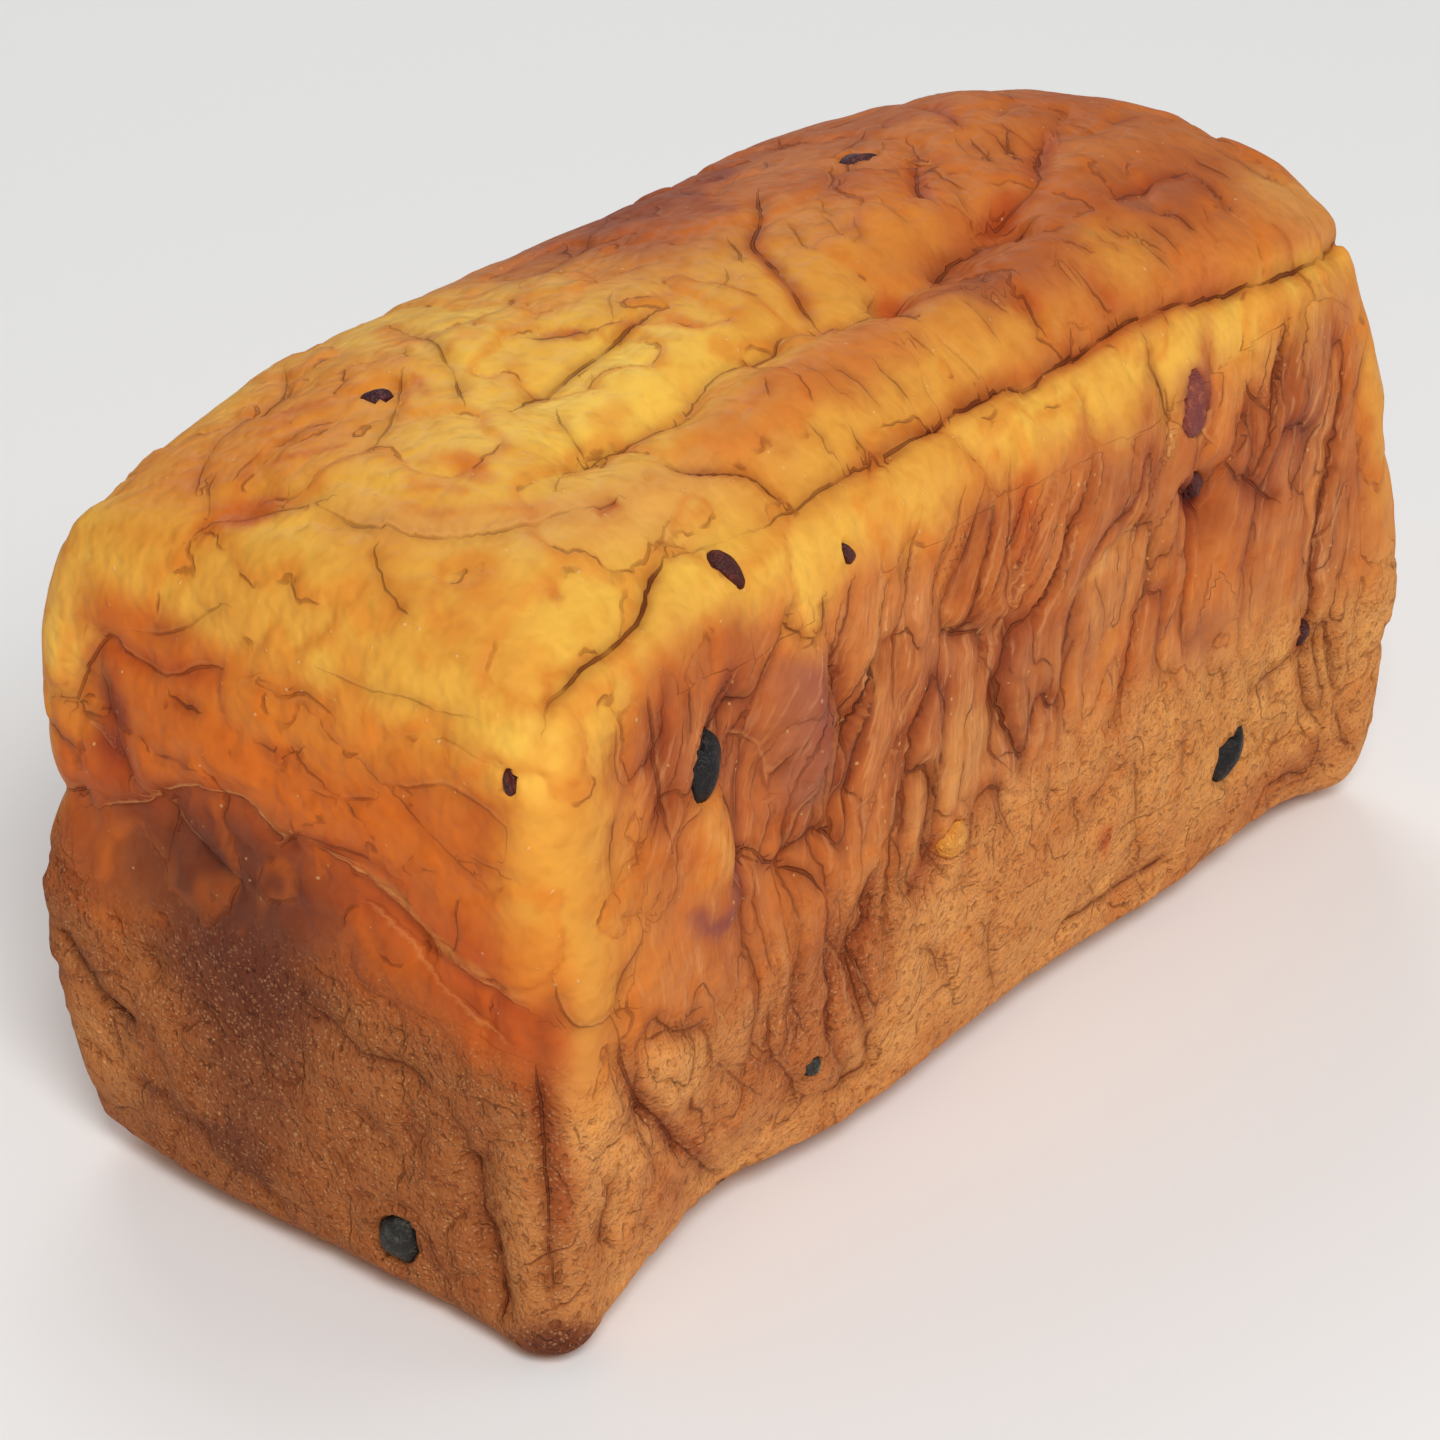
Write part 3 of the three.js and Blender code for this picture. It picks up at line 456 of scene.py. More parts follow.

# Patches of colour on each face: the colour, the middle, the two radii, the strength and, where
# the patch is turned, its angle
# The rust and burnt orange spots at (41, -17), (7, -22), (-93, 15) and (-75, -9) on the top, the red brown
# at (49, 75) and chestnut at (-58, 80) and (-21, 44) on the near side, and the dark red at (31, 77) on the
# browned end sit in hollows of LUMPS and are painted shade in them.
PATCHES = {
    "top": [
        ("orange", (-78, 24), (24, 17), 0.95), ("gold", (-42, 24), (18, 9), 0.85, 62),
        ("gold", (-70, -6), (18, 14), 0.7), ("yolk", (-45, -9), (25, 10), 0.95),
        ("yolk", (-56, 6), (8, 6), 0.7, 40), ("honey", (-95, -18), (12, 22), 0.8),
        ("straw", (-58, -30), (26, 7), 0.7, -6), ("honey", (-8, -6), (16, 13), 0.85),
        ("amber", (0, -29), (52, 6.5), 0.9), ("copper", (58, -28), (38, 8), 0.85),
        ("honey", (-12, -36.5), (40, 2.8), 0.75), ("amber", (60, -38.5), (36, 2.5), 0.7),
        ("chestnut", (10, 24), (26, 10), 0.85, 38), ("red brown", (18, 36), (34, 12), 0.75, 12),
        ("amber", (62, 6), (34, 24), 0.7), ("copper", (78, -12), (18, 12), 0.7),
        ("rust", (41, -17), (10, 3), 0.8, 4), ("rust", (7, -22), (3.4, 3), 0.8),
        ("rust", (-93, 15), (3.2, 5.4), 0.75), ("burnt orange", (-75, -9), (2.4, 5), 0.7, -14),
        ("straw", (94, -36), (13, 8), 0.8), ("chestnut", (24, -28), (18, 5), 0.65, 4),
        ("chestnut", (66, -26), (24, 9), 0.75), ("chestnut", (84, 4), (14, 16), 0.6),
        ("chestnut", (60, 20), (18, 8), 0.6), ("chestnut", (28, 6), (10, 8), 0.5),
        ("mauve", (60, -28), (14, 4), 0.5), ("mauve", (20, -30), (10, 3), 0.4),
        ("honey", (46, -34), (8, 6), 0.6), ("honey", (6, -33), (8, 5), 0.6),
        ("copper", (86, 26), (18, 18), 0.8), ("chestnut", (52, 36), (26, 10), 0.6),
    ],
    "near": [
        ("honey", (-97, 76), (8, 30), 0.85), ("orange", (-88, 74), (6, 18), 0.6),
        ("chestnut", (-70, 95), (17, 8), 0.9), ("chestnut", (-58, 80), (9, 12), 0.75),
        ("orange", (-72, 72), (5.5, 8), 0.9), ("copper", (-32, 84), (13, 15), 0.6),
        ("amber", (-8, 90), (13, 12), 0.6), ("tan", (-15, 60), (14, 8.5), 0.9),
        ("tan", (16, 66), (12, 8), 0.45), ("chestnut", (30, 84), (12, 8), 0.55),
        ("red brown", (49, 75), (5, 9), 0.75, 12), ("chestnut", (64, 78), (14, 10), 0.75),
        ("purple", (47, 94.5), (4, 4.6), 0.85), ("honey", (99, 74), (7, 22), 0.85),
        ("straw", (72, 36), (36, 22), 0.4), ("tan", (30, 76), (13, 10), 0.5),
        ("crumb brown", (-100, 16), (9, 14), 0.5), ("copper", (80, 62), (10, 11), 0.6),
        ("chestnut", (-48, 32), (18, 18), 0.55), ("red brown", (-40, 38), (9, 8), 0.5),
        ("chestnut", (-21, 44), (4.4, 5), 0.8), ("rust", (27, 27), (1.6, 3), 0.7, 10),
        ("burnt orange", (47, 62), (6, 2.4), 0.5), ("chestnut", (75, 14), (18, 6), 0.4),
        ("chestnut", (-76, 22), (12, 10), 0.4, 40), ("scorch", (-101, 4), (6, 5), 0.8),
        ("chestnut", (-30, 76), (12, 10), 0.5),
    ],
    "browned": [
        ("honey", (-46, 84), (6, 20), 0.9), ("yolk", (40, 88), (8, 12), 0.8),
        ("yolk", (-42, 96), (7, 7), 0.6), ("burnt orange", (-8, 80), (34, 9), 0.7),
        ("orange", (-10, 91), (30, 6), 0.7), ("dark red", (31, 77), (5, 8), 0.75),
        ("rust", (0, 66), (46, 8), 0.7), ("rust", (-38, 57), (11, 9), 0.75),
        ("orange", (-44, 66), (5, 6), 0.5), ("scorch", (11, 58), (25, 13), 0.85, -8),
        ("red brown", (-24, 54), (20, 6), 0.4, 10), ("red brown", (40, 52), (9, 8), 0.45),
        ("scorch", (7, 46), (14, 11), 0.8), ("scorch", (5, 30), (9, 12), 0.45),
        ("scorch", (9, 16), (6, 7), 0.5), ("crumb tan", (-42, 22), (6, 18), 0.5),
        ("scorch", (-46, 4), (6, 5), 0.8), ("crumb tan", (38, 20), (9, 10), 0.5),
    ],
    "back": [
        ("chestnut", (34, 82), (16, 14), 0.6), ("chestnut", (-66, 78), (16, 12), 0.6),
        ("tan", (-14, 62), (14, 9), 0.7), ("mauve", (62, 66), (7, 12), 0.6),
        ("amber", (-20, 86), (18, 10), 0.6), ("chestnut", (0, 34), (20, 12), 0.4),
        ("honey", (-98, 74), (7, 22), 0.7), ("honey", (99, 70), (6, 18), 0.6),
    ],
    "far": [
        ("burnt orange", (4, 82), (30, 9), 0.7), ("rust", (10, 68), (30, 7), 0.5),
        ("straw", (-44, 76), (7, 20), 0.8), ("honey", (44, 84), (8, 14), 0.6),
        ("chestnut", (12, 50), (18, 10), 0.5),
    ],
}

# Strokes of colour on each face: the colour, the width, the strength and the places of the path
# The red brown, rust, dark red, chestnut and scorch strokes that follow creases are painted shade along
# them, and the straw strokes beside flaps are painted highlights on their ledges.
STROKES = {
    "top": [
        ("straw", 2.6, 0.8, (-89, 2), (-89, -6), (-87, -13), (-82, -20), (-74, -24), (-64, -27)),
        ("amber", 1.4, 0.6, (-86, -4), (-85, -12), (-81, -19), (-72, -24)),
        ("copper", 1.6, 0.6, (-6, -18), (-2, -8), (2, 0), (10, 6)),
        ("burnt orange", 2.6, 0.5, (-42, 34), (-46, 26), (-50, 18)),
        ("burnt orange", 2.4, 0.7, (-98, 20), (-94, 17), (-92, 11)),
        ("burnt orange", 1.4, 0.6, (-82, -4), (-79, -12), (-80, -15)),
        ("rust", 1, 0.5, (-84, 18), (-80, 12), (-78, 8)), ("rust", 1, 0.5, (-72, 26), (-68, 20)),
        ("rust", 0.9, 0.5, (-62, 8), (-58, 14)), ("rust", 1.2, 0.5, (-86, -34), (-83, -33)),
        ("rust", 1.2, 0.6, (-69, -27), (-65, -28)),
        ("orange", 2.4, 0.6, (-46, -30), (-42, -35), (-42, -39)),
        ("chestnut", 3, 0.4, (-8, 12), (-2, 24), (8, 34)),
        ("dark red", 1.8, 0.35, (8, 8), (16, 20), (20, 30)), ("rust", 1.4, 0.5, (20, -32), (24, -36)),
        ("rust", 1.4, 0.5, (36, -34), (38, -39)), ("rust", 1.6, 0.5, (56, -25), (66, -25), (76, -26)),
        ("burnt orange", 1.2, 0.7, (-39, 8), (-36, 6), (-34, 3)),
        ("burnt orange", 1.4, 0.6, (-24, -3), (-24, -8), (-23, -11)),
        ("burnt orange", 1.2, 0.6, (-30, -1), (-26, -1)),
        ("chestnut", 3, 0.6, (14, -20), (26, -20), (42, -20)),
        ("rust", 2.2, 0.6, (50, -15), (62, -8), (74, -1)),
        ("rust", 1.8, 0.6, (33, -10), (38, -3), (46, 3)),
        ("dark red", 3, 0.45, (26, 27), (33, 30), (38, 36)),
        ("rust", 1.8, 0.5, (58, 6), (64, 12), (70, 18)),
        ("orange", 1.3, 0.5, (-70, -21), (-60, -19), (-40, -20), (-20, -19), (0, -22)),
        ("rust", 1.5, 0.5, (-40, -40), (-20, -40), (8, -40), (32, -41), (60, -43), (80, -44.5)),
        ("burnt orange", 1.4, 0.5, (-9, -20), (-5, -12), (0, -3), (8, 4), (14, 9)),
    ],
    "near": [
        ("red brown", 2.6, 0.6, (-80, 97), (-81, 88), (-81, 77)),
        ("mauve", 6.5, 0.85, (-50, 93), (-50, 82), (-51, 72), (-52, 65)),
        ("purple", 1.9, 0.8, (-79, 66), (-75, 62), (-69, 60), (-65, 63), (-62, 68)),
        ("purple", 2, 0.45, (-48, 90), (-47, 80), (-48, 72)),
        ("red brown", 2.2, 0.6, (-42, 90), (-41, 76), (-43, 66)),
        ("red brown", 2, 0.5, (-4, 97), (-12, 90), (-15, 84)),
        ("rust", 2.2, 0.5, (4, 98), (2, 92), (0, 84)),
        ("red brown", 1.8, 0.5, (-12, 78), (-7, 74), (-4, 64)),
        ("straw", 1.2, 0.5, (-31, 94), (-34, 84), (-33, 76)),
        ("straw", 1.2, 0.5, (10, 77), (20, 75), (32, 80)),
        ("straw", 1, 0.5, (38, 84), (42, 91), (50, 85)),
        ("dark red", 2.2, 0.8, (44, 79), (48, 76), (51, 72)),
        ("red brown", 1.8, 0.6, (58, 77), (64, 72), (69, 68)),
        ("red brown", 1.6, 0.6, (-90, 46), (-84, 34), (-74, 23), (-66, 14)),
        ("red brown", 1.8, 0.6, (-34, 50), (-33, 42), (-39, 38)),
        ("straw", 1.4, 0.5, (-74, 78), (-71, 72), (-68, 66)), ("dark red", 1.4, 0.7, (79, 41), (79, 37)),
    ],
    "browned": [
        ("straw", 1, 0.55, (-45, 59.5), (-30, 63.5), (-20, 68.5), (-13, 71.5)),
        ("straw", 0.9, 0.45, (-4, 71), (2, 71), (6, 75)),
        ("rust", 1.8, 0.6, (38, 77), (34, 87), (29, 89), (18, 89), (8, 93)),
        ("scorch", 2, 0.5, (40, 38), (34, 31), (28, 29)),
        ("scorch", 2.4, 0.4, (32, 19), (20, 17), (8, 16)),
        ("red brown", 2.4, 0.6, (-46, 64), (-46, 46), (-47, 20)),
        ("straw", 1.2, 0.4, (33, 29), (38, 34), (44, 37)),
    ],
    "back": [
        ("red brown", 2, 0.5, (72, 92), (67, 76), (70, 60)),
        ("red brown", 2, 0.5, (12, 96), (8, 80), (13, 64), (10, 46)),
        ("red brown", 2, 0.5, (-57, 92), (-52, 76), (-56, 60)),
    ],
}

# How much of the studio's light falls on the top, the long sides and the ends, and how much less
# blue the paint has, because the gloss of the crust adds a little white
LIGHT_ON_TOP = 1.03
LIGHT_ON_SIDES = 0.98
LIGHT_ON_ENDS = 0.97
GLOSS_MADE_UP = np.array([1.0, 0.97, 0.79])

# The photo's view: where the camera looks from and how long its lens is
CAMERA_AZIMUTH = -52.0
CAMERA_ELEVATION = 29.0
CAMERA_DISTANCE = 0.8
CAMERA_TARGET = (-0.013, -0.005, 0.050)
CAMERA_LENS = 134.25
SENSOR = 36.0

# The studio: each soft light's place, size in metres and power in watts, what the lights look at,
# the strength of the pale surround, and half the floor's side
LIGHTS = {
    "key": ((-0.8, -0.85, 1.15), 0.55, 17.0),
    "fill": ((0.9, -1.0, 0.5), 0.9, 3.0),
    "back": ((0.8, 1.0, 1.0), 0.9, 6.0),
}
LIGHTS_TARGET = (0.0, 0.0, 0.06)
SURROUND = 0.3
FLOOR_REACH = 6.0


def rows_by_face(table):
    """The rows of a table that is laid out by face, each behind its face's name."""
    return [(face, *row) for face, rows in table.items() for row in rows]


def smooth(low, high, x):
    """0 below low, 1 above high, and t * t * (3 - 2 * t) between them."""
    t = np.clip((x - low) / (high - low), 0.0, 1.0)
    return t * t * (3.0 - 2.0 * t)


def bell(distance):
    """exp(-d * d): 1 in the middle, and little past a distance of 2."""
    return np.exp(-(distance**2))


def unit(ways):
    """Directions made 1 long."""
    return ways / np.linalg.norm(ways, axis=-1, keepdims=True)


def soft_noise(points, name, step=0, halvings=0):
    """Unevenness from -1 to 1: random values on a lattice of the noise's cells, halved so many
    times, blended between each cell's eight corners by t * t * (3 - 2 * t) along each axis. Each
    step gives another noise of the same cells."""
    cells, seed = NOISES[name]
    table = np.random.default_rng(seed + step).uniform(-1.0, 1.0, (NOISE_CELLS,) * 3)
    scaled = points / (np.asarray(cells, float) / 2**halvings)
    low = np.floor(scaled).astype(int)
    share = scaled - low
    share = share * share * (3.0 - 2.0 * share)
    total = np.zeros(len(points))
    for corner in np.ndindex(2, 2, 2):
        index = (low + corner) % NOISE_CELLS
        weight = np.prod(np.where(np.array(corner, bool), share, 1.0 - share), axis=1)
        total += weight * table[index[:, 0], index[:, 1], index[:, 2]]
    return total


def ragged_noise(points, name, step=0):
    """Three layers of soft noise, each half the size and half the height of the one before."""
    return sum(soft_noise(points, name, step + i, i) / 2**i for i in range(3)) / 1.75


def shaken(points, name, reach):
    """The points moved along each axis by ragged noise of a height in mm."""
    return points + reach * np.stack([ragged_noise(points, name, 3 * i) for i in range(3)], axis=1)


def crust_lattice():
    """Points of a cube from -1 to 1 on its six faces, shared along the edges, and their quads."""
    cells = np.array(CELLS)
    points, quads = [], []
    count = 0
    for axis in range(3):
        first, second = (axis + 1) % 3, (axis + 2) % 3
        for end in (0, 1):
            a, b = np.meshgrid(np.arange(cells[first] + 1), np.arange(cells[second] + 1), indexing="ij")
            grid = np.zeros((a.size, 3), int)
            grid[:, axis] = end * cells[axis]
            grid[:, first] = a.ravel()
            grid[:, second] = b.ravel()
            row = cells[second] + 1
            corner = np.arange(cells[first])[:, None] * row + np.arange(cells[second])[None, :]
            quad = np.stack([corner, corner + row, corner + row + 1, corner + 1], -1).reshape(-1, 4)
            quads.append((quad if end else quad[:, ::-1]) + count)
            points.append(grid)
            count += len(grid)
    points, place = np.unique(np.concatenate(points), axis=0, return_inverse=True)
    return 2.0 * points / cells - 1.0, place[np.concatenate(quads)]


def tin_block(cube):
    """A block of the tin's size with rounded edges, and its normals: the point of the inner block
    nearest to the scaled cube point, plus the radius along the way to that point."""
    upright = np.where(cube[:, 2] > 0, SHOULDER_RADIUS, BASE_RADIUS)
    radius = np.stack([np.full(len(cube), CORNER_RADIUS)] * 2 + [upright], axis=1)
    raw = cube * HALF
    inner = np.clip(raw, -(HALF - radius), HALF - radius)
    out = unit((raw - inner) / radius)
    points = inner + radius * out
    points[:, 2] += HALF[2]
    return points, unit(out / radius)


def raise_dome(points):
    """Lifts the upper part: the dome's height times 1 - |y| ^ DOME_ROUNDNESS across the loaf, and
    times a fall of 1 - |x| ^ DOME_END_ROUNDNESS along it."""
    lift = smooth(DOME_START, 1.0, points[:, 2] / SHOULDER)
    across = 1.0 - np.abs(points[:, 1] / HALF[1]) ** DOME_ROUNDNESS
    along = 1.0 - np.abs(points[:, 0] / HALF[0]) ** DOME_END_ROUNDNESS
    share = DOME_AT_ENDS + (1.0 - DOME_AT_ENDS) * np.maximum(along, 0.0)
    points[:, 2] += DOME * lift * np.maximum(across, 0.0) * share


def swell(points, normals):
    """Pushes the crust along its normal by a bell round each swelling's place."""
    for place, spread, push in SWELLS:
        apart = (points - np.array(place) * (HALF[0], HALF[1], SHOULDER)) / spread
        points += normals * (push * np.exp(-(apart**2).sum(axis=1)))[:, None]


def smooth_normals(points, quads):
    """Unit normals of the points: the sum of the cross products of their quads' diagonals."""
    corners = points[quads]
    area = np.cross(corners[:, 2] - corners[:, 0], corners[:, 3] - corners[:, 1])
    normals = np.zeros_like(points)
    for i in range(4):
        np.add.at(normals, quads[:, i], area)
    return unit(normals)


def facing(normals, face, low=0.12, high=0.42):
    """How much the crust looks the way a face does, from 0 to 1."""
    axis, side, _ = FACES[face]
    return smooth(low, high, normals[:, axis] * side)


def on_ends(normals):
    """How much the crust belongs to the two ends, from 0 to 1."""
    return smooth(0.4, 0.8, np.abs(normals[:, 0]))


def smooth_path(places, step=1.6):
    """Places along a smooth curve through the given ones, a Catmull-Rom spline with its ends
    carried straight on."""
    p = np.array(places, float)
    p = np.vstack([2 * p[0] - p[1], p, 2 * p[-1] - p[-2]])
    parts = []
    for before, here, there, after in zip(p, p[1:], p[2:], p[3:]):
        steps = max(int(np.linalg.norm(there - here) / step), 1)
        t = (np.arange(steps) / steps)[:, None]
        bend = 2 * before - 5 * here + 4 * there - after
        turn = 3 * here - before - 3 * there + after
        parts.append(0.5 * (2 * here + (there - before) * t + bend * t**2 + turn * t**3))
    return np.vstack(parts + [p[-2]])


def lift_path(face, places, points, normals):
    """The places on the bare crust: each takes its third coordinate from the crust's point of
    that face that is nearest in the face's two axes."""
    axis, side, axes = FACES[face]
    on_face = np.flatnonzero(normals[:, axis] * side > 0.1)
    flat = points[on_face][:, axes]
    route = np.zeros((len(places), 3))
    for i, place in enumerate(places):
        nearest = on_face[np.argmin(((flat - place) ** 2).sum(axis=1))]
        route[i] = points[nearest]
        route[i, list(axes)] = place
    return route


def across_route(points, normals, route):
    """Distance to the route, +1 on its left as seen from outside and -1 on its right, and the
    share of the route before the nearest place."""
    nearest = np.full(len(points), np.inf)
    offs = np.zeros_like(points)
    ways = np.zeros_like(points)
    share = np.zeros(len(points))
    for i in range(len(route) - 1):
        way = route[i + 1] - route[i]
        apart = points - route[i]
        t = np.clip(apart @ way / (way @ way), 0.0, 1.0)
        off = apart - t[:, None] * way
        square = np.einsum("ij,ij->i", off, off)
        closer = square < nearest
        nearest[closer] = square[closer]
        offs[closer] = off[closer]
        ways[closer] = way
        share[closer] = ((i + t) / (len(route) - 1))[closer]
    turn = np.einsum("ij,ij->i", np.cross(ways, offs), normals)
    return np.sqrt(nearest), np.where(turn > 0, 1.0, -1.0), share


def inside_reach(points, route, reach):
    """Which points lie in the route's box, grown by a reach."""
    return ((points > route.min(axis=0) - reach) & (points < route.max(axis=0) + reach)).all(axis=1)


def scattered_pleats():
    """Short wavering pleats at random places of each face that run more or less at the face's
    angle. They have the form of a row of CREASES behind the face."""
    rng = np.random.default_rng(PLEAT_SEED)
    rows = []
    for face, count, low, high, angle, (short, long), deepest in PLEATS:
        for i in range(count):
            share = (i + rng.uniform()) / count
            middle = np.array([low[0] + share * (high[0] - low[0]), rng.uniform(low[1], high[1])])
            run = math.radians(angle + rng.normal(0.0, PLEAT_TURN))
            way = np.array([math.cos(run), math.sin(run)])
            half = 0.5 * rng.uniform(short, long)
            sway = rng.normal(0.0, PLEAT_SWAY * half, PLEAT_PLACES)
            steps = np.linspace(-half, half, PLEAT_PLACES)
            path = middle + np.outer(steps, way) + np.outer(sway, (-way[1], way[0]))
            depth = deepest * rng.uniform(0.4, 1.0)
            flap = rng.choice([-1.0, 1.0]) * PLEAT_FLAP * depth
            rows.append((face, depth, flap, rng.uniform(0.0, DARKEST_PLEAT), *path))
    return rows


def open_creases(points, normals):
    """The height that the creases give the crust, the painted shade that they put in a band along
    them, and for the nearest crease of each point the distance across it in half widths of its line,
    above 0 on the side that lies over the other, the distance in mm, the darkness of its line of
    painted shade and the strength of the painted highlight on its ridge."""
    height, dark, ridge, shade = np.zeros((4, len(points)))
    nearest = np.full(len(points), CREASE_REACH)
    across = np.full(len(points), LINE_LIMIT)
    far, close_by = WANDER
    stray = [far * soft_noise(points, "wander", i) + close_by * soft_noise(points, "small wander", i)
             for i in range(3)]
    wandered = points + np.stack(stray, axis=1)
    vary = 0.75 + 0.35 * soft_noise(points, "crease strength")
    for face, depth, flap, darkness, *path in rows_by_face(CREASES) + scattered_pleats():
        route = lift_path(face, smooth_path(path), points, normals)
        looks = facing(normals, face, 0.02, 0.03) > 0
        close = np.flatnonzero(inside_reach(wandered, route, CREASE_REACH) & looks)
        distance, side, share = across_route(wandered[close], normals[close], route)
        ends = smooth(0.0, ENDS_SHARE, share) * smooth(0.0, ENDS_SHARE, 1.0 - share)
        strength = (0.2 + 0.8 * ends) * vary[close]
        groove = (1.0 - VALLEY_SHARE) * bell(distance / GROOVE_WIDTH)
        valley = VALLEY_SHARE * bell(distance / VALLEY_WIDTH)
        over = side * smooth(0.0, FLAP_RISE, distance) * bell(distance / FLAP_REACH)
        height[close] += strength * (0.5 * flap * over - depth * (groove + valley))
        shade[close] = np.maximum(shade[close], darkness * strength * bell(distance / SHADE_WIDTH))
        if darkness < FAINTEST_LINE:
            continue
        faint, full = LINE_HALF_WIDTH
        half_width = (faint + (full - faint) * darkness) * (0.35 + 0.65 * ends) * vary[close]
        over_side = side if flap >= 0 else -side
        first = distance < nearest[close]
        chosen = close[first]
        nearest[chosen] = distance[first]
        across[chosen] = np.clip((over_side * distance / half_width)[first], -LINE_LIMIT, LINE_LIMIT)
        dark[chosen] = (darkness * (0.4 + 0.6 * ends) * vary[close])[first]
        # strength of the painted highlight on the ridge of the flap
        ridge[chosen] = (abs(flap) * (1.0 - darkness) * ends * vary[close])[first]
    return height, np.clip(shade, 0, 1), across, nearest, np.clip(dark, 0, 1), np.clip(ridge, 0, 1)


def spot(points, face, middle, radii, turn=0.0):
    """The square of the distance from a middle on a face, in shares of two radii turned by an
    angle."""
    place = points[:, FACES[face][2]] - np.array(middle, float)
    angle = math.radians(turn)
    along = (place @ np.array([math.cos(angle), math.sin(angle)])) / radii[0]
    over = (place @ np.array([-math.sin(angle), math.cos(angle)])) / radii[1]
    return along**2 + over**2


def raise_lumps(points, normals):
    """A bell for each lump or hollow on its face."""
    return sum(lift * facing(normals, face) * np.exp(-spot(points, face, middle, radii))
               for face, middle, radii, lift in rows_by_face(LUMPS))


def porous_share(points, normals):
    """1 on the porous lower crust and the base, 0 on the smooth skin above its uneven edge."""
    ends = on_ends(normals)
    uneven = SKIN_UNEVEN * ragged_noise(points, "skin edge")
    edge_on_ends = np.interp(points[:, 1], *zip(*SKIN_EDGE)) + SKIN_UNEVEN_ON_ENDS * uneven
    edge = ends * edge_on_ends + (1.0 - ends) * (SKIN_EDGE_ON_SIDES + uneven)
    fade = SKIN_FADE[0] + (SKIN_FADE[1] - SKIN_FADE[0]) * ends
    below = 1.0 - smooth(-0.6, 0.6, (points[:, 2] - edge) / fade)
    return np.maximum(below, smooth(0.5, 0.8, -normals[:, 2]))


def fibre_share(points, normals):
    """How much the dough was pulled into upright fibres: the long sides above the foot."""
    sides = smooth(0.45, 0.8, np.abs(normals[:, 1])) * (1.0 - smooth(*FIBRE_ENDS, np.abs(points[:, 0])))
    lifted = smooth(*FIBRE_LIFT_STARTS, points[:, 0]) * (1.0 - smooth(*FIBRE_LIFT_STOPS, points[:, 0]))
    foot = FIBRE_FOOT + FIBRE_LIFT * lifted + FIBRE_UNEVEN * ragged_noise(points, "foot of the pull")
    band = smooth(*FIBRE_FADE, points[:, 2] - foot) * (1.0 - smooth(*FIBRE_RIM, points[:, 2]))
    return sides * band * (0.6 + 0.4 * soft_noise(points, "pull"))


def along_the_pull(points):
    """The points moved along X so that the dough's pull runs upright: by a bend of
    LAYER_BEND * (z - LAYER_MIDDLE) ** 2 and some unevenness."""
    pulled = points.copy()
    pulled[:, 0] -= LAYER_BEND * (points[:, 2] - LAYER_MIDDLE) ** 2
    for name, reach in zip(("bend", "small bend"), BEND_REACH):
        pulled[:, 0] += reach * soft_noise(points, name)
    return pulled


def edge_distance(measure, places):
    """About the distance in mm from where a measure of places is 0, with its sign: the measure
    over its slope, where neither a flat stretch nor a far place counts in full."""
    step = 0.5
    values = measure(places)
    slope = np.sqrt(sum((measure(places + step * way) - values) ** 2 for way in np.eye(3))) / step
    return np.clip(values / np.maximum(slope, 0.4 * np.median(slope)), -EDGE_LIMIT, EDGE_LIMIT)


def crust_edges(points, pulled, fibre):
    """Distances in mm from three kinds of edges: the crevices between layers, above 0 on every
    other layer, the edges of flakes, above 0 on a flake that lies over its neighbour, and the
    bottoms of small wrinkles, which follow the pull in the layers."""
    layers = edge_distance(lambda p: soft_noise(p, "layers") + 0.5 * soft_noise(p, "split layers"), pulled)
    flakes = edge_distance(lambda p: ragged_noise(p, "flakes"), points)
    in_layers = edge_distance(lambda p: soft_noise(p, "wrinkles in layers"), pulled)
    elsewhere = edge_distance(lambda p: soft_noise(p, "wrinkles elsewhere"), points)
    return layers, flakes, np.where(fibre > LAYERED, in_layers, elsewhere)


def fine_relief(points, porous, fibre, layers, flakes, wrinkles):
    """Height of the unevenness too fine for the solids: dimples and ledges on the skin, layers
    and crevices on the long sides and coarse pores low down."""
    dimples = DIMPLE_HEIGHT * ragged_noise(points, "dimples") + ragged_noise(points, "waves")
    pores = PORE_DEPTH * (soft_noise(points, "pores") + 0.6 * soft_noise(points, "small pores"))
    backs = LAYER_HEIGHT * (0.45 - np.exp(-np.abs(layers) / CREVICE))
    steps = 0.5 * LAYER_STEP * np.clip(layers / CREVICE, -1.0, 1.0)
    chips = CHIP_HEIGHT * np.abs(soft_noise(points, "chips"))
    ledges = FLAKE_HEIGHT * smooth(-0.3, 1.0, flakes) - FLAKE_GROOVE * np.exp(-np.abs(flakes))
    folds = WRINKLE_DEPTH * (0.3 - np.exp(-np.abs(wrinkles) / WRINKLE_WIDTH))
    folds *= smooth(0.0, 0.6, soft_noise(points, "wrinkled places") + 0.5 * fibre)
    return dimples + (1.0 - fibre) * ledges + fibre * (backs + steps + chips) + folds + porous * pores


def to_linear(colour):
    """Linear light of a colour given from 0 to 1 as the eye sees it."""
    colour = np.asarray(colour, float)
    return np.where(colour <= 0.04045, colour / 12.92, ((colour + 0.055) / 1.055) ** 2.4)


def tone(name):
    """A named colour from 0 to 1, as the eye sees it."""
    return np.array(COLOURS[name], float) / 255.0


def mix(a, b, share):
    """a and b blended, with share as b's part. Either may be a colour's name."""
    a, b = (tone(c) if isinstance(c, str) else c for c in (a, b))
    share = np.asarray(share)[..., None]
    return a * (1.0 - share) + b * share


def tint(colours, name, share):
    """The colours multiplied by a named tint, by a share."""
    return mix(colours, colours * TINTS[name], share)


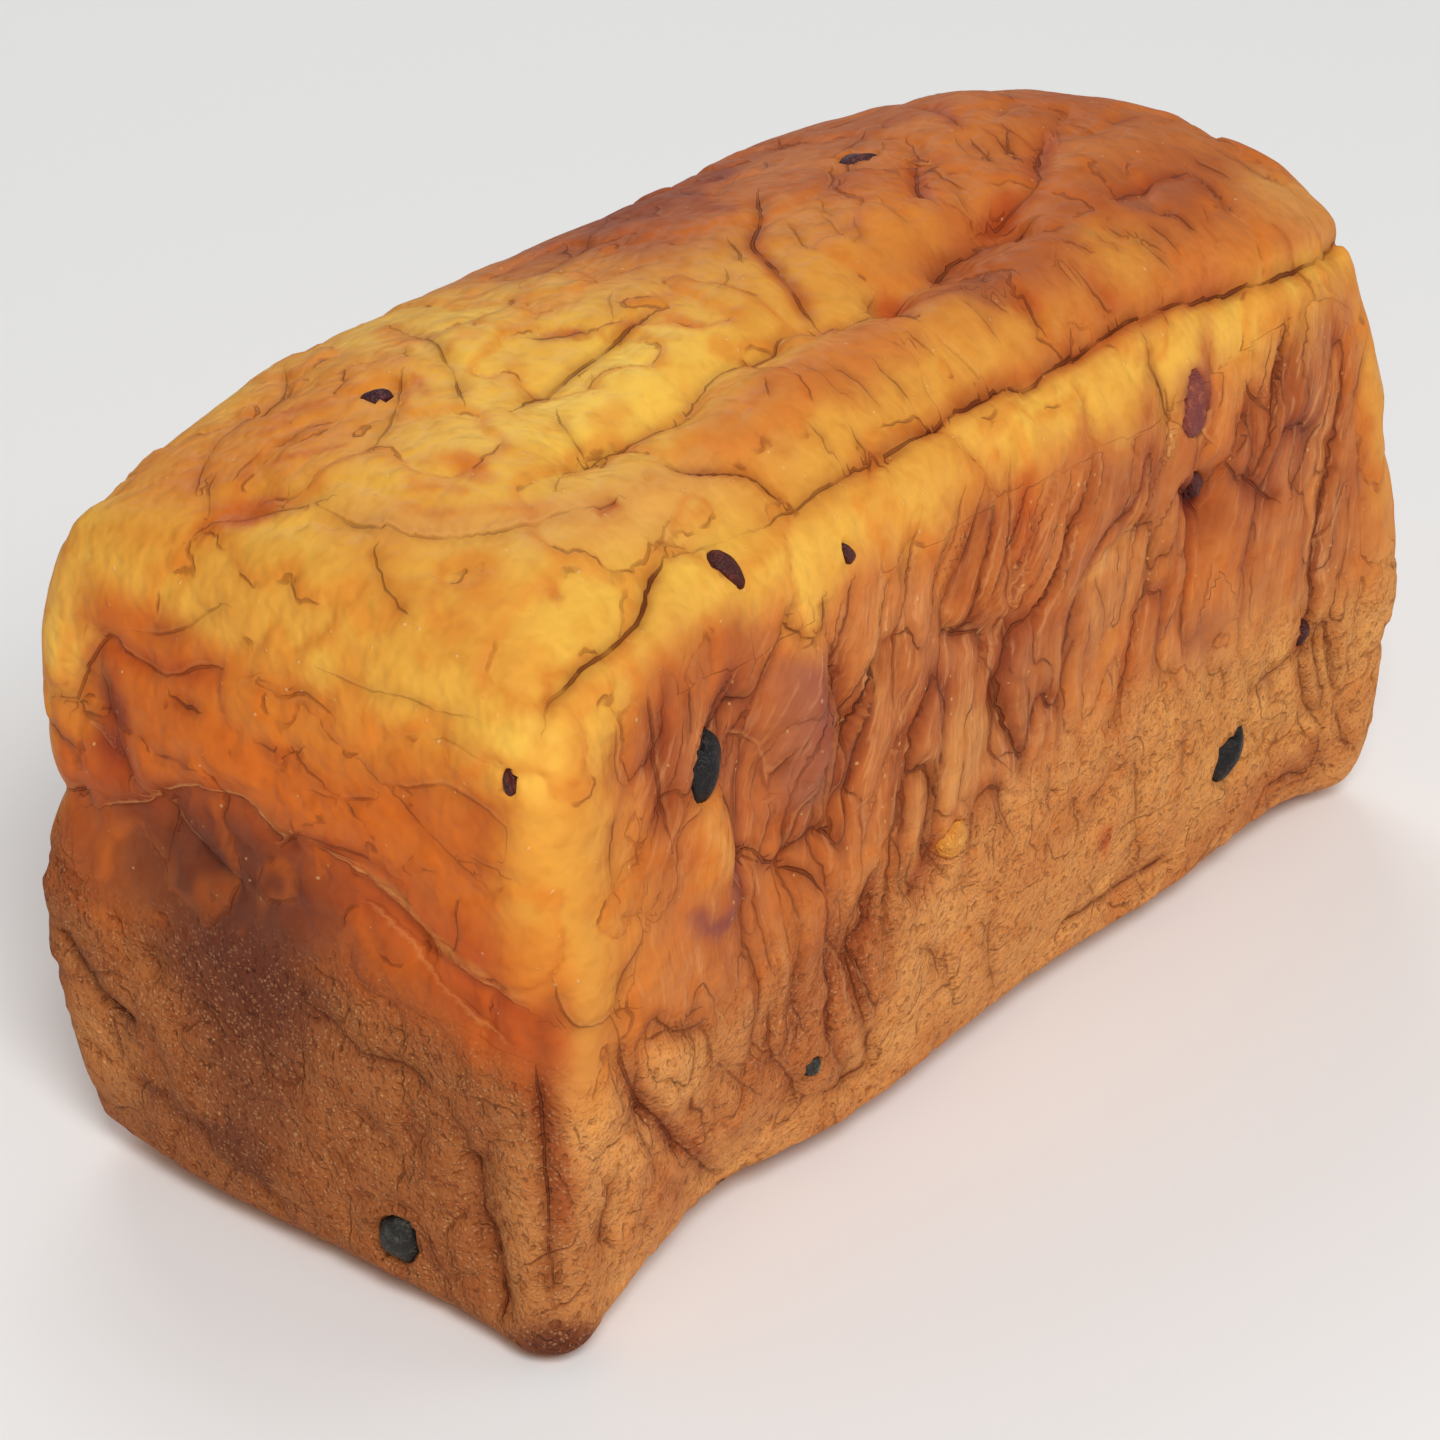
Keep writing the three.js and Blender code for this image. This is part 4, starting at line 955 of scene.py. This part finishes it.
def base_colours(points, normals, porous):
    """Colours that follow the baking: gold on the rim of the tin, brown on the walls, and on the
    top from pale at the browned end to amber."""
    broad = soft_noise(points, "broad hue")
    ragged = ragged_noise(points, "hue")
    height = points[:, 2]
    along = smooth(-34.0, 26.0, points[:, 0] + 0.45 * points[:, 1] + 12.0 * ragged)
    pale = mix("honey", "gold", smooth(-0.5, 0.6, broad))
    top = mix(pale, mix("amber", "copper", smooth(-0.3, 0.7, ragged)), along)
    top = mix(top, "orange", 0.5 * smooth(0.08, 0.4, ragged_noise(points, "blotches")))
    skin = mix("amber", "chestnut", smooth(-0.5, 0.7, ragged + 0.4 * broad))
    skin = mix(skin, "mauve", 0.5 * smooth(0.1, 0.7, soft_noise(points, "mauve places")))
    skin = mix(skin, "burnt orange", 0.6 * on_ends(normals))
    crumb = mix("crumb tan", "copper", smooth(-0.1, 1.0, ragged))
    crumb = mix(crumb, "crumb brown", facing(normals, "browned", 0.4, 0.8))
    wall = mix(skin, crumb, porous)
    tongues = 7.0 * soft_noise(along_the_pull(points), "tongues of the rim")
    rim = smooth(89.0, 101.0, height + 4.0 * ragged + tongues) * (1.0 - smooth(0.55, 0.9, normals[:, 2]))
    hidden = smooth(0.0, 0.5, np.maximum(normals[:, 1], normals[:, 0]))
    rim *= 1.0 - 0.6 * hidden * smooth(-0.3, 0.4, soft_noise(points, "browned rim"))
    gilt = mix("gold", "honey", smooth(-0.4, 0.6, ragged))
    wall = mix(wall, mix(gilt, "orange", 0.5 * hidden), rim)
    colours = mix(wall, top, smooth(0.42, 0.78, normals[:, 2] + 0.06 * ragged))
    corner = smooth(0.3, 0.6, np.minimum(np.abs(normals[:, 0]), np.abs(normals[:, 1])))
    return mix(colours, "honey", 0.7 * corner * smooth(52.0, 74.0, height + 6.0 * ragged))


def tint_layers(colours, fibre, porous, layers, flakes, wrinkles):
    """Every other layer browner, a painted highlight on the backs of the layers, painted shade in the
    crevices and wrinkles, and the edges of the flakes orange."""
    rims = smooth(-0.6, 0.4, flakes) * (1.0 - smooth(0.4, 3.2, flakes))
    colours = tint(colours, "browned layer", fibre * smooth(-0.5, 2.0, layers))
    # painted highlight on the backs of the layers, away from their crevices
    colours = mix(colours, "painted layer highlight", 0.42 * fibre * smooth(1.2, 4.0, np.abs(layers)))
    colours = mix(colours, "burnt orange", 0.36 * (1.0 - np.maximum(fibre, porous)) * rims)
    # painted shade in the small wrinkles and in the crevices between the layers
    colours = tint(colours, "crevice_shade", 0.4 * fibre * bell(wrinkles / 0.7))
    return tint(colours, "crevice_shade", fibre * bell(layers / CREVICE))


def paint_patches(colours, points, normals):
    """Each patch in full up to 0.3 of its radii, and gone at 1.5 of them."""
    ragged = shaken(points, "patch edges", 3.6)
    for face, colour, middle, radii, strength, *turn in rows_by_face(PATCHES):
        apart = np.sqrt(spot(ragged, face, middle, radii, *turn))
        share = strength * facing(normals, face, 0.2, 0.62) * (1.0 - smooth(0.3, 1.5, apart))
        colours = mix(colours, colour, share)
    return colours


def paint_strokes(colours, points, normals):
    """Each stroke as a bell across its path that runs out at both ends."""
    ragged = shaken(points, "stroke edges", 2.4)
    for face, colour, width, strength, *path in rows_by_face(STROKES):
        route = lift_path(face, smooth_path(path, 3.0), points, normals)
        close = np.flatnonzero(inside_reach(ragged, route, 3.0 * width))
        distance, _, share = across_route(ragged[close], normals[close], route)
        ends = smooth(-0.02, 0.16, share) * smooth(-0.02, 0.16, 1.0 - share)
        weight = strength * ends * facing(normals[close], face, 0.1, 0.4) * bell(distance / width)
        colours[close] = mix(colours[close], colour, weight)
    return colours


def paint_crust(points, normals, porous, fibre, edges, shade):
    """The crust's linear colour: the baking, then patches and strokes, and painted shade in creases."""
    colours = base_colours(points, normals, porous)
    colours = paint_patches(colours, points, normals)
    colours = tint_layers(colours, fibre, porous, *edges)
    colours = paint_strokes(colours, points, normals)
    # painted shade in the band along each crease
    colours = tint(colours, "crevice_shade", 0.85 * shade)
    walls = LIGHT_ON_SIDES + (LIGHT_ON_ENDS - LIGHT_ON_SIDES) * smooth(0.3, 0.8, np.abs(normals[:, 0]))
    light = walls + (LIGHT_ON_TOP - walls) * smooth(0.2, 0.8, normals[:, 2])
    return to_linear(np.clip(colours, 0.0, 1.0)) * GLOSS_MADE_UP / light[:, None]


def bake_loaf():
    """The dressed crust: its points and quads in mm, the bare normals and what its material
    reads."""
    cube, quads = crust_lattice()
    points, outward = tin_block(cube)
    raise_dome(points)
    swell(points, outward)
    bare = smooth_normals(points, quads)
    porous = porous_share(points, bare)
    fibre = fibre_share(points, bare)
    pulled = along_the_pull(points)
    layers, flakes, wrinkles = crust_edges(points, pulled, fibre)
    crease, shade, across, nearest, dark, ridge = open_creases(points, bare)
    relief = crease + raise_lumps(points, bare)
    relief += fine_relief(points, porous, fibre, layers, flakes, wrinkles)
    reads = {
        "paint": paint_crust(points, bare, porous, fibre, (layers, flakes, wrinkles), shade),
        "crease": np.stack([across, nearest, dark], axis=1),
        "ridge": ridge,
        "porous": porous,
        "fibre": fibre,
        "edges": np.stack([np.where(fibre > LAYERED, layers, flakes), wrinkles, 0.0 * fibre], axis=1),
        "pulled": pulled * MM,
    }
    standing = smooth(0.0, FOOT_BAND, points[:, 2] / SHOULDER)
    points = points + outward * (relief * standing)[:, None]
    points[:, 2] = np.maximum(points[:, 2] - SETTLE, 0.0)
    return points, quads, bare, reads


def ball(rings=22, sides=36):
    """Points of a unit ball with its poles on X, and its faces: rings of quads and two fans."""
    up = np.linspace(0.0, math.pi, rings + 2)[1:-1]
    about = np.linspace(0.0, 2 * math.pi, sides, endpoint=False)
    u, v = np.meshgrid(up, about, indexing="ij")
    points = np.stack([np.cos(u), np.sin(u) * np.cos(v), np.sin(u) * np.sin(v)], axis=-1).reshape(-1, 3)
    points = np.vstack([points, [[1.0, 0.0, 0.0], [-1.0, 0.0, 0.0]]])
    faces = []
    for j in range(sides):
        k = (j + 1) % sides
        faces.append((len(points) - 2, j, k))
        faces.append((len(points) - 1, (rings - 1) * sides + k, (rings - 1) * sides + j))
        for row in range(0, (rings - 1) * sides, sides):
            faces.append((row + j, row + sides + j, row + sides + k, row + k))
    return points, faces


def fruit(size, taper, phase):
    """A dried fruit: a squashed ball whose radius varies by furrows round its long axis, bulges
    along it and fine wrinkles, and whose width narrows towards one end by 1 - taper * x."""
    points, faces = ball()
    along = points[:, 0]
    around = np.arctan2(points[:, 2], points[:, 1])
    furrow = FURROW_DEPTH * np.sin(FURROWS * around + 2.0 * along + phase) * (1.0 - along**2)
    bulge = BULGE_DEPTH * np.sin(BULGES * along + phase)
    fine = WRINKLED * ragged_noise(points + (3.0 * phase, 0.0, 0.0), "fruit skin")
    points = points * (1.0 + furrow + bulge + fine)[:, None] * (np.array(size) / 2.0)
    points[:, 1] *= 1.0 - taper * along
    return points, faces


def fruit_frame(points, normals, face, place, size, turn, proud):
    """Where a piece of fruit lies in the dressed crust: its middle, and its long, wide and
    outward directions, with the long one at an angle on the face. The crust's nearest points
    give the outward direction and the height."""
    axis, side, axes = FACES[face]
    apart = ((points[:, axes] - np.array(place, float)) ** 2).sum(axis=1)
    apart[(normals[:, axis] * side < 0.25) | (points[:, axis] * side < 0.8 * HALF[axis])] = np.inf
    looked_at, stood_on = NEAREST_POINTS
    close = np.argsort(apart)[:looked_at]
    outward = unit(normals[close].mean(axis=0))
    long = np.zeros(3)
    long[list(axes)] = math.cos(math.radians(turn)), math.sin(math.radians(turn))
    long = unit(long - outward * (long @ outward))
    middle = points[close[:stood_on]].mean(axis=0) + outward * (proud - size[2] / 2.0)
    return middle, np.stack([long, np.cross(outward, long), outward])


def sink_pocket(points, middle, axes, size, taper):
    """Draws the crust in under a fruit, to below its middle, with a low lip round it."""
    local = (points - middle) @ axes.T
    half = np.array(size) / 2.0
    along = local[:, 0] / half[0]
    apart = np.sqrt(along**2 + (local[:, 1] / half[1] / (1.0 - taper * np.clip(along, -1.0, 1.0))) ** 2)
    near = (apart < POCKET_REACH[0]) & (np.abs(local[:, 2]) < POCKET_REACH[1] * half[2])
    inside = 1.0 - smooth(*POCKET_EDGE, apart)
    drop = np.minimum(-POCKET_DEPTH * half[2] - local[:, 2], 0.0) * inside
    lip = LIP_HEIGHT * bell((apart - LIP_MIDDLE) / LIP_WIDTH)
    points[near] += axes[2] * (drop + lip)[near][:, None]


def make_piece(name, points, faces, material):
    """A mesh object in metres at the origin, smooth shaded, riding on the loaf's body."""
    mesh = bpy.data.meshes.new(name)
    mesh.from_pydata((points * MM).tolist(), [], faces if isinstance(faces, list) else faces.tolist())
    mesh.polygons.foreach_set("use_smooth", np.ones(len(mesh.polygons), bool))
    mesh.materials.append(material)
    mesh.update()
    piece = bpy.data.objects.new(name, mesh)
    bpy.context.scene.collection.objects.link(piece)
    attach(piece, "root")
    return piece


def store(piece, reads):
    """Writes point attributes: the paint with a full fourth part, directions by threes and shares
    one by one."""
    for name, values in reads.items():
        kind, field = ("FLOAT_VECTOR", "vector") if values.ndim == 2 else ("FLOAT", "value")
        if name == "paint":
            kind, field = "FLOAT_COLOR", "color"
            values = np.hstack([values, np.ones((len(values), 1))])
        layer = piece.data.attributes.new(name, kind, "POINT")
        layer.data.foreach_set(field, values.astype(np.float32).ravel())


class Wire:
    """A node's output. Its sums, products and other steps are new nodes of the same tree, and the
    other value of a step may be a number or another wire."""

    def __init__(self, tree, socket):
        self.tree = tree
        self.socket = socket

    def beside(self, output):
        """Another output of the same node."""
        return Wire(self.tree, self.socket.node.outputs[output])

    def into(self, socket):
        """Links the wire to an input."""
        self.tree.links.new(self.socket, socket)

    def calc(self, operation, b=0.0, c=0.0):
        """A Math node on the wire and up to two more values."""
        return put(self.tree, "ShaderNodeMath", {0: self, 1: b, 2: c}, operation=operation)

    def __add__(self, other):
        return self.calc("ADD", other)

    def __mul__(self, other):
        return self.calc("MULTIPLY", other)

    def __abs__(self):
        return self.calc("ABSOLUTE")

    def larger(self, other):
        """The larger of two values."""
        return self.calc("MAXIMUM", other)

    def times_plus(self, factor, more):
        """The wire times a factor, plus more."""
        return self.calc("MULTIPLY_ADD", factor, more)

    def spread(self, low, high, start=0.0, end=1.0):
        """start up to low, end from high on, and a smooth step between them."""
        values = {"Value": self, "From Min": low, "From Max": high, "To Min": start, "To Max": end}
        return put(self.tree, "ShaderNodeMapRange", values, interpolation_type="SMOOTHSTEP")


def put(tree, kind, values=None, output=0, **settings):
    """Adds a node with its settings, sets or links its inputs, and gives one of its outputs."""
    node = tree.nodes.new(kind)
    for name, value in settings.items():
        setattr(node, name, value)
    for name, value in (values or {}).items():
        if isinstance(value, Wire):
            value.into(node.inputs[name])
        else:
            node.inputs[name].default_value = value
    return Wire(tree, node.outputs[output])


def noise(place, size, detail=2.0, roughness=0.5, output="Fac"):
    """Noise from 0 to 1 with features of the given size in mm."""
    values = {"Vector": place, "Scale": 1.0 / (size * MM), "Detail": detail, "Roughness": roughness}
    return put(place.tree, "ShaderNodeTexNoise", values, output)


def attribute(tree, name, output="Fac"):
    """A point attribute's output."""
    return put(tree, "ShaderNodeAttribute", None, output, attribute_name=name)


def parts(tree, name):
    """The three parts of a direction that is a point attribute."""
    first = put(tree, "ShaderNodeSeparateXYZ", {0: attribute(tree, name, "Vector")})
    return [first.beside(i) for i in range(3)]


def stretched(place, upwards):
    """Coordinates whose features are longer up the loaf."""
    return put(place.tree, "ShaderNodeMapping", {"Vector": place, "Scale": (1.0, 1.0, upwards)})


def shaken_place(place, size, reach):
    """Coordinates moved about by noise of the given size, both in mm."""
    def step(operation, values):
        return put(place.tree, "ShaderNodeVectorMath", values, operation=operation)

    shake = noise(place, size, 1.0, output="Color")
    centred = step("SUBTRACT", {0: shake, 1: (0.5, 0.5, 0.5)})
    moved = step("SCALE", {0: centred, "Scale": 2.0 * reach * MM})
    return step("ADD", {0: place, 1: moved})


def blend(share, a, b, way="MIX"):
    """Two colours mixed, with share as the second one's part."""
    return put(share.tree, "ShaderNodeMix", {0: share, 6: a, 7: b}, 2, data_type="RGBA", blend_type=way)


def rgb(colour):
    """A colour as the eye sees it, from 0 to 255, as a shader's linear colour."""
    return (*to_linear(np.array(colour) / 255.0), 1.0)


def tinted(colour, share, name):
    """A colour multiplied by a named tint, by a share."""
    return blend(share, colour, (*TINTS[name], 1.0), "MULTIPLY")


def covered(colour, share, name):
    """A colour covered with a named one, by a share."""
    return blend(share, colour, rgb(COLOURS[name]))


def new_group(name, inputs, output):
    """A node group, the wires of its inputs, and the socket of its one output. Each input is given
    with its usual value."""
    group = bpy.data.node_groups.new(name, "ShaderNodeTree")
    for label, value in inputs.items():
        kind = "NodeSocketVector" if isinstance(value, tuple) else "NodeSocketFloat"
        group.interface.new_socket(name=label, in_out="INPUT", socket_type=kind).default_value = value
    group.interface.new_socket(name=output, in_out="OUTPUT", socket_type="NodeSocketFloat")
    given = group.nodes.new("NodeGroupInput").outputs
    out = group.nodes.new("NodeGroupOutput").inputs[output]
    return group, [Wire(group, given[label]) for label in inputs], out


def specks_group():
    """Node group: specks of uneven size scattered over a surface. Scale is one over their spacing,
    Radius a share of the spacing, and Rarity the share of the cells without one."""
    usual = {"Place": (0.0, 0.0, 0.0), "Scale": 900.0, "Radius": 0.3, "Rarity": 0.5}
    group, (place, scale, radius, rarity), out = new_group("specks", usual, "Specks")
    cells = put(group, "ShaderNodeTexVoronoi", {"Vector": place, "Scale": scale}, "Distance",
                voronoi_dimensions="3D")
    lots = put(group, "ShaderNodeSeparateColor", {"Color": cells.beside("Color")})
    reach = radius * lots.beside(1).spread(0.0, 1.0, 0.45, 1.25)
    inside = cells.calc("DIVIDE", reach).spread(0.35, 1.0, 1.0, 0.0)
    (inside * lots.calc("GREATER_THAN", rarity)).into(out)
    return group


def wrinkles_group():
    """Node group: fine wrinkles of a dried skin, as a height from 0 to 1."""
    group, (place,), out = new_group("wrinkles", {"Place": (0.0, 0.0, 0.0)}, "Height")
    folds = abs(noise(place, 1.6, 3.0, 0.6).calc("SUBTRACT", 0.5))
    (folds * 4.0 + noise(place, 0.5) * 0.4).into(out)
    return group


def specks(group, place, spacing, radius, rarity):
    """The specks of one group node, their spacing in mm."""
    values = {"Place": place, "Scale": 1.0 / (spacing * MM), "Radius": radius, "Rarity": rarity}
    return put(place.tree, "ShaderNodeGroup", values, node_tree=group)


def new_material(name):
    """An empty node material, its tree and the inputs of its Principled BSDF."""
    material = bpy.data.materials.new(name)
    material.use_nodes = True
    return material, material.node_tree, material.node_tree.nodes["Principled BSDF"].inputs


def finish_surface(inputs, colour, roughness, height, strength, distance, gloss):
    """Links the colour, the roughness and the bump of a height, its distance in mm, and sets how
    much the surface shines."""
    colour.into(inputs["Base Color"])
    roughness.into(inputs["Roughness"])
    bump = {"Strength": strength, "Distance": distance * MM, "Height": height}
    put(height.tree, "ShaderNodeBump", bump).into(inputs["Normal"])
    inputs["Specular IOR Level"].default_value = gloss


def dark_lines(crease, edges, fibre, porous, broad, uneven):
    """How dark the line of painted shade is at the bottom of each crease, crevice and fold, broken
    where the broad noise says."""
    broken = broad.spread(0.36, 0.5, 0.35, 1.0)
    shade_line = abs(crease[0] + uneven).spread(0.4, 1.6, 1.0, 0.0) * crease[1].spread(0.7, 1.2, 1.0, 0.0)
    shade_line = shade_line * (crease[2] * broken)
    opened = (fibre * broken).larger(broad.spread(0.5, 0.62, 0.0, 0.42))
    crevice_shade = abs(uneven + edges[0]).spread(0.05, 0.4, 1.0, 0.0) * opened
    fold = abs(uneven.times_plus(-0.8, edges[1])).spread(0.0, 0.28, 0.8, 0.0)
    fold = fold * (fibre.larger(porous * 0.6) * broad.spread(0.6, 0.42))
    return shade_line.larger(crevice_shade.larger(fold))


def crust_material(speck_group):
    """Baked crust: painted colour with mottling, fibres, pores and pale grains, brown lines of painted
    shade in the creases and crevices, and a painted highlight on the ridge where a flap lies over its
    neighbour."""
    material, tree, inputs = new_material("baked_crust")
    place = shaken_place(put(tree, "ShaderNodeTexCoord", None, "Object"), 3.0, 0.6)
    pulled = shaken_place(attribute(tree, "pulled", "Vector"), 2.4, 0.4)
    porous, fibre, ridge = (attribute(tree, name) for name in ("porous", "fibre", "ridge"))
    edges = parts(tree, "edges")
    crease = parts(tree, "crease")

    # Mottling: broad soft patches a little redder and darker, or paler, and small ones within
    broad = noise(place, 7.0)
    middling = noise(place, 2.6, 1.0)
    colour = tinted(attribute(tree, "paint", "Color"), broad.spread(0.44, 0.72, 0.0, 0.7), "browner")
    colour = tinted(colour, broad.spread(0.52, 0.26, 0.0, 0.7), "paler")
    colour = tinted(colour, middling.spread(0.5, 0.74, 0.0, 0.5), "spots")

    # Fibres of the pulled dough
    strands = noise(stretched(pulled, 0.13), 1.3, 2.0, 0.6)
    ropes = noise(stretched(pulled, 0.2), 3.2, 1.0)
    colour = tinted(colour, ropes.spread(0.48, 0.7, 0.0, 0.8) * fibre, "ropes")
    colour = tinted(colour, strands.spread(0.5, 0.7, 0.0, 0.6) * fibre, "strands")
    colour = covered(colour, strands.spread(0.44, 0.3, 0.0, 0.5) * fibre, "pale strand")

    # Pores and pale grains on the porous crust, and sparse painted glints all over
    crumbs = noise(place, 0.8, 1.0)
    pits = noise(place, 1.7, 1.0).spread(0.42, 0.28) * porous
    grains = specks(speck_group, place, 0.6, 0.55, 0.35) * porous
    painted_glints = specks(speck_group, place, 2.2, 0.15, 0.6)
    colour = tinted(colour, crumbs.spread(0.44, 0.3) * porous * 0.7, "pores")
    colour = tinted(colour, pits * 0.4, "pits")
    colour = covered(colour, grains * 0.32, "grain")
    colour = covered(colour, painted_glints * 0.4, "painted glint")

    # Painted highlight on the ridge of each flap, and the lines of painted shade over it
    uneven = middling.spread(0.25, 0.75, -0.4, 0.4)
    beside = crease[0] + uneven
    lit = beside.spread(1.6, 3.0) * beside.spread(5.6, 3.4) * ridge * crease[1].spread(1.0, 1.8, 0.5, 0.0)
    shade_line = dark_lines(crease, edges, fibre, porous, broad, uneven)
    colour = covered(covered(colour, lit, "lit ridge"), shade_line, "shade_line")

    # Relief finer than the mesh, in shares of the bump's height
    relief = crumbs * porous.spread(0.0, 1.0, 0.05, 1.2)
    for part, share in ((strands * fibre, -1.5), (ropes * fibre, -1.6), (grains, 0.3), (pits, -0.7),
                        (painted_glints, 0.2), (lit, 0.5), (shade_line, -1.1), (broad, 1.6), (middling, 1.2)):
        relief = part.times_plus(share, relief)
    roughness = porous.times_plus(0.2, middling.spread(0.3, 0.7, 0.5, 0.64))
    finish_surface(inputs, colour, roughness, relief, 0.9, 0.55, 0.14)
    return material


def fruit_material(group, name, dark, pale, rough):
    """Dried fruit: dark skin with paler bloom on its ridges."""
    material, tree, inputs = new_material(name)
    place = put(tree, "ShaderNodeTexCoord", None, "Object")
    wrinkled = put(tree, "ShaderNodeGroup", {"Place": place}, node_tree=group)
    bloom = noise(place, 2.4, 3.0, 0.6)
    colour = blend(bloom.spread(0.4, 0.68) * wrinkled.spread(0.1, 0.7), rgb(dark), rgb(pale))
    roughness = bloom.spread(0.3, 0.7, rough - 0.12, rough + 0.12)
    finish_surface(inputs, colour, roughness, wrinkled, 0.8, 0.35, 0.3)
    return material


def make_fruit(points, normals):
    """The raisins, the scraps and the nub of peel, and the pockets that they lie in."""
    wrinkles = wrinkles_group()
    materials = {skin: fruit_material(wrinkles, *row) for skin, row in SKINS.items()}
    pieces = [("dressed_" + name, name, "raisin", row) for name, row in RAISINS.items()]
    pieces += [(f"fruit_scrap_{i + 1}", "loaf", "raisin", row) for i, row in enumerate(SCRAPS)]
    pieces.append(("peel_nub", "loaf", "crust", PEEL))
    frames = [fruit_frame(points, normals, *row[:5]) for _, _, _, row in pieces]
    for i, (name, node, slot, (_, _, size, _, _, taper, skin)) in enumerate(pieces):
        middle, axes = frames[i]
        sink_pocket(points, middle, axes, size, taper)
        shape, faces = fruit(size, taper, i)
        piece = make_piece(name, shape @ axes + middle, faces, materials[skin])
        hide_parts(node)


def make_loaf():
    """The dressed crust with its fruit."""
    points, quads, bare, reads = bake_loaf()
    make_fruit(points, bare)
    loaf = make_piece("dressed_loaf", points, quads, crust_material(specks_group()))
    store(loaf, reads)
    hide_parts("loaf")


def make_floor():
    """A plain pale floor, well past the camera's view."""
    mesh = bpy.data.meshes.new("floor")
    corners = [(x * FLOOR_REACH, y * FLOOR_REACH, 0.0) for x, y in ((-1, -1), (1, -1), (1, 1), (-1, 1))]
    mesh.from_pydata(corners, [], [(0, 1, 2, 3)])
    material, _, inputs = new_material("pale_floor")
    inputs["Base Color"].default_value = (0.92, 0.92, 0.91, 1.0)
    inputs["Roughness"].default_value = 0.9
    mesh.materials.append(material)
    floor = bpy.data.objects.new("floor", mesh)
    bpy.context.scene.collection.objects.link(floor)


def place_and_aim(name, data, place, target):
    """A light or a camera at a place, turned to look at a target."""
    item = bpy.data.objects.new(name, data)
    item.location = place
    item.rotation_euler = (Vector(target) - item.location).to_track_quat("-Z", "Y").to_euler()
    bpy.context.scene.collection.objects.link(item)
    return item


def make_studio():
    """Plain soft square lights from above and both sides of the camera, and a pale surround."""
    world = bpy.data.worlds.new("studio")
    world.use_nodes = True
    sky = world.node_tree.nodes["Background"].inputs
    sky["Color"].default_value = (1.0, 1.0, 1.0, 1.0)
    sky["Strength"].default_value = SURROUND
    bpy.context.scene.world = world
    for name, (place, size, watts) in LIGHTS.items():
        light = bpy.data.lights.new(name, "AREA")
        light.shape = "SQUARE"
        light.size = size
        light.energy = watts
        place_and_aim(name, light, place, LIGHTS_TARGET)
    bpy.context.scene.view_settings.view_transform = "Standard"


def make_camera():
    """The camera at its azimuth and elevation round the target, looking at it."""
    azimuth = math.radians(CAMERA_AZIMUTH)
    elevation = math.radians(CAMERA_ELEVATION)
    level = math.cos(elevation)
    away = (math.sin(azimuth) * level, -math.cos(azimuth) * level, math.sin(elevation))
    place = [t + CAMERA_DISTANCE * a for t, a in zip(CAMERA_TARGET, away)]
    data = bpy.data.cameras.new("camera")
    data.lens = CAMERA_LENS
    data.sensor_width = SENSOR
    data.clip_start = 0.01
    bpy.context.scene.camera = place_and_aim("camera", data, place, CAMERA_TARGET)


def main():
    make_camera()
    make_loaf()
    make_floor()
    make_studio()


main()
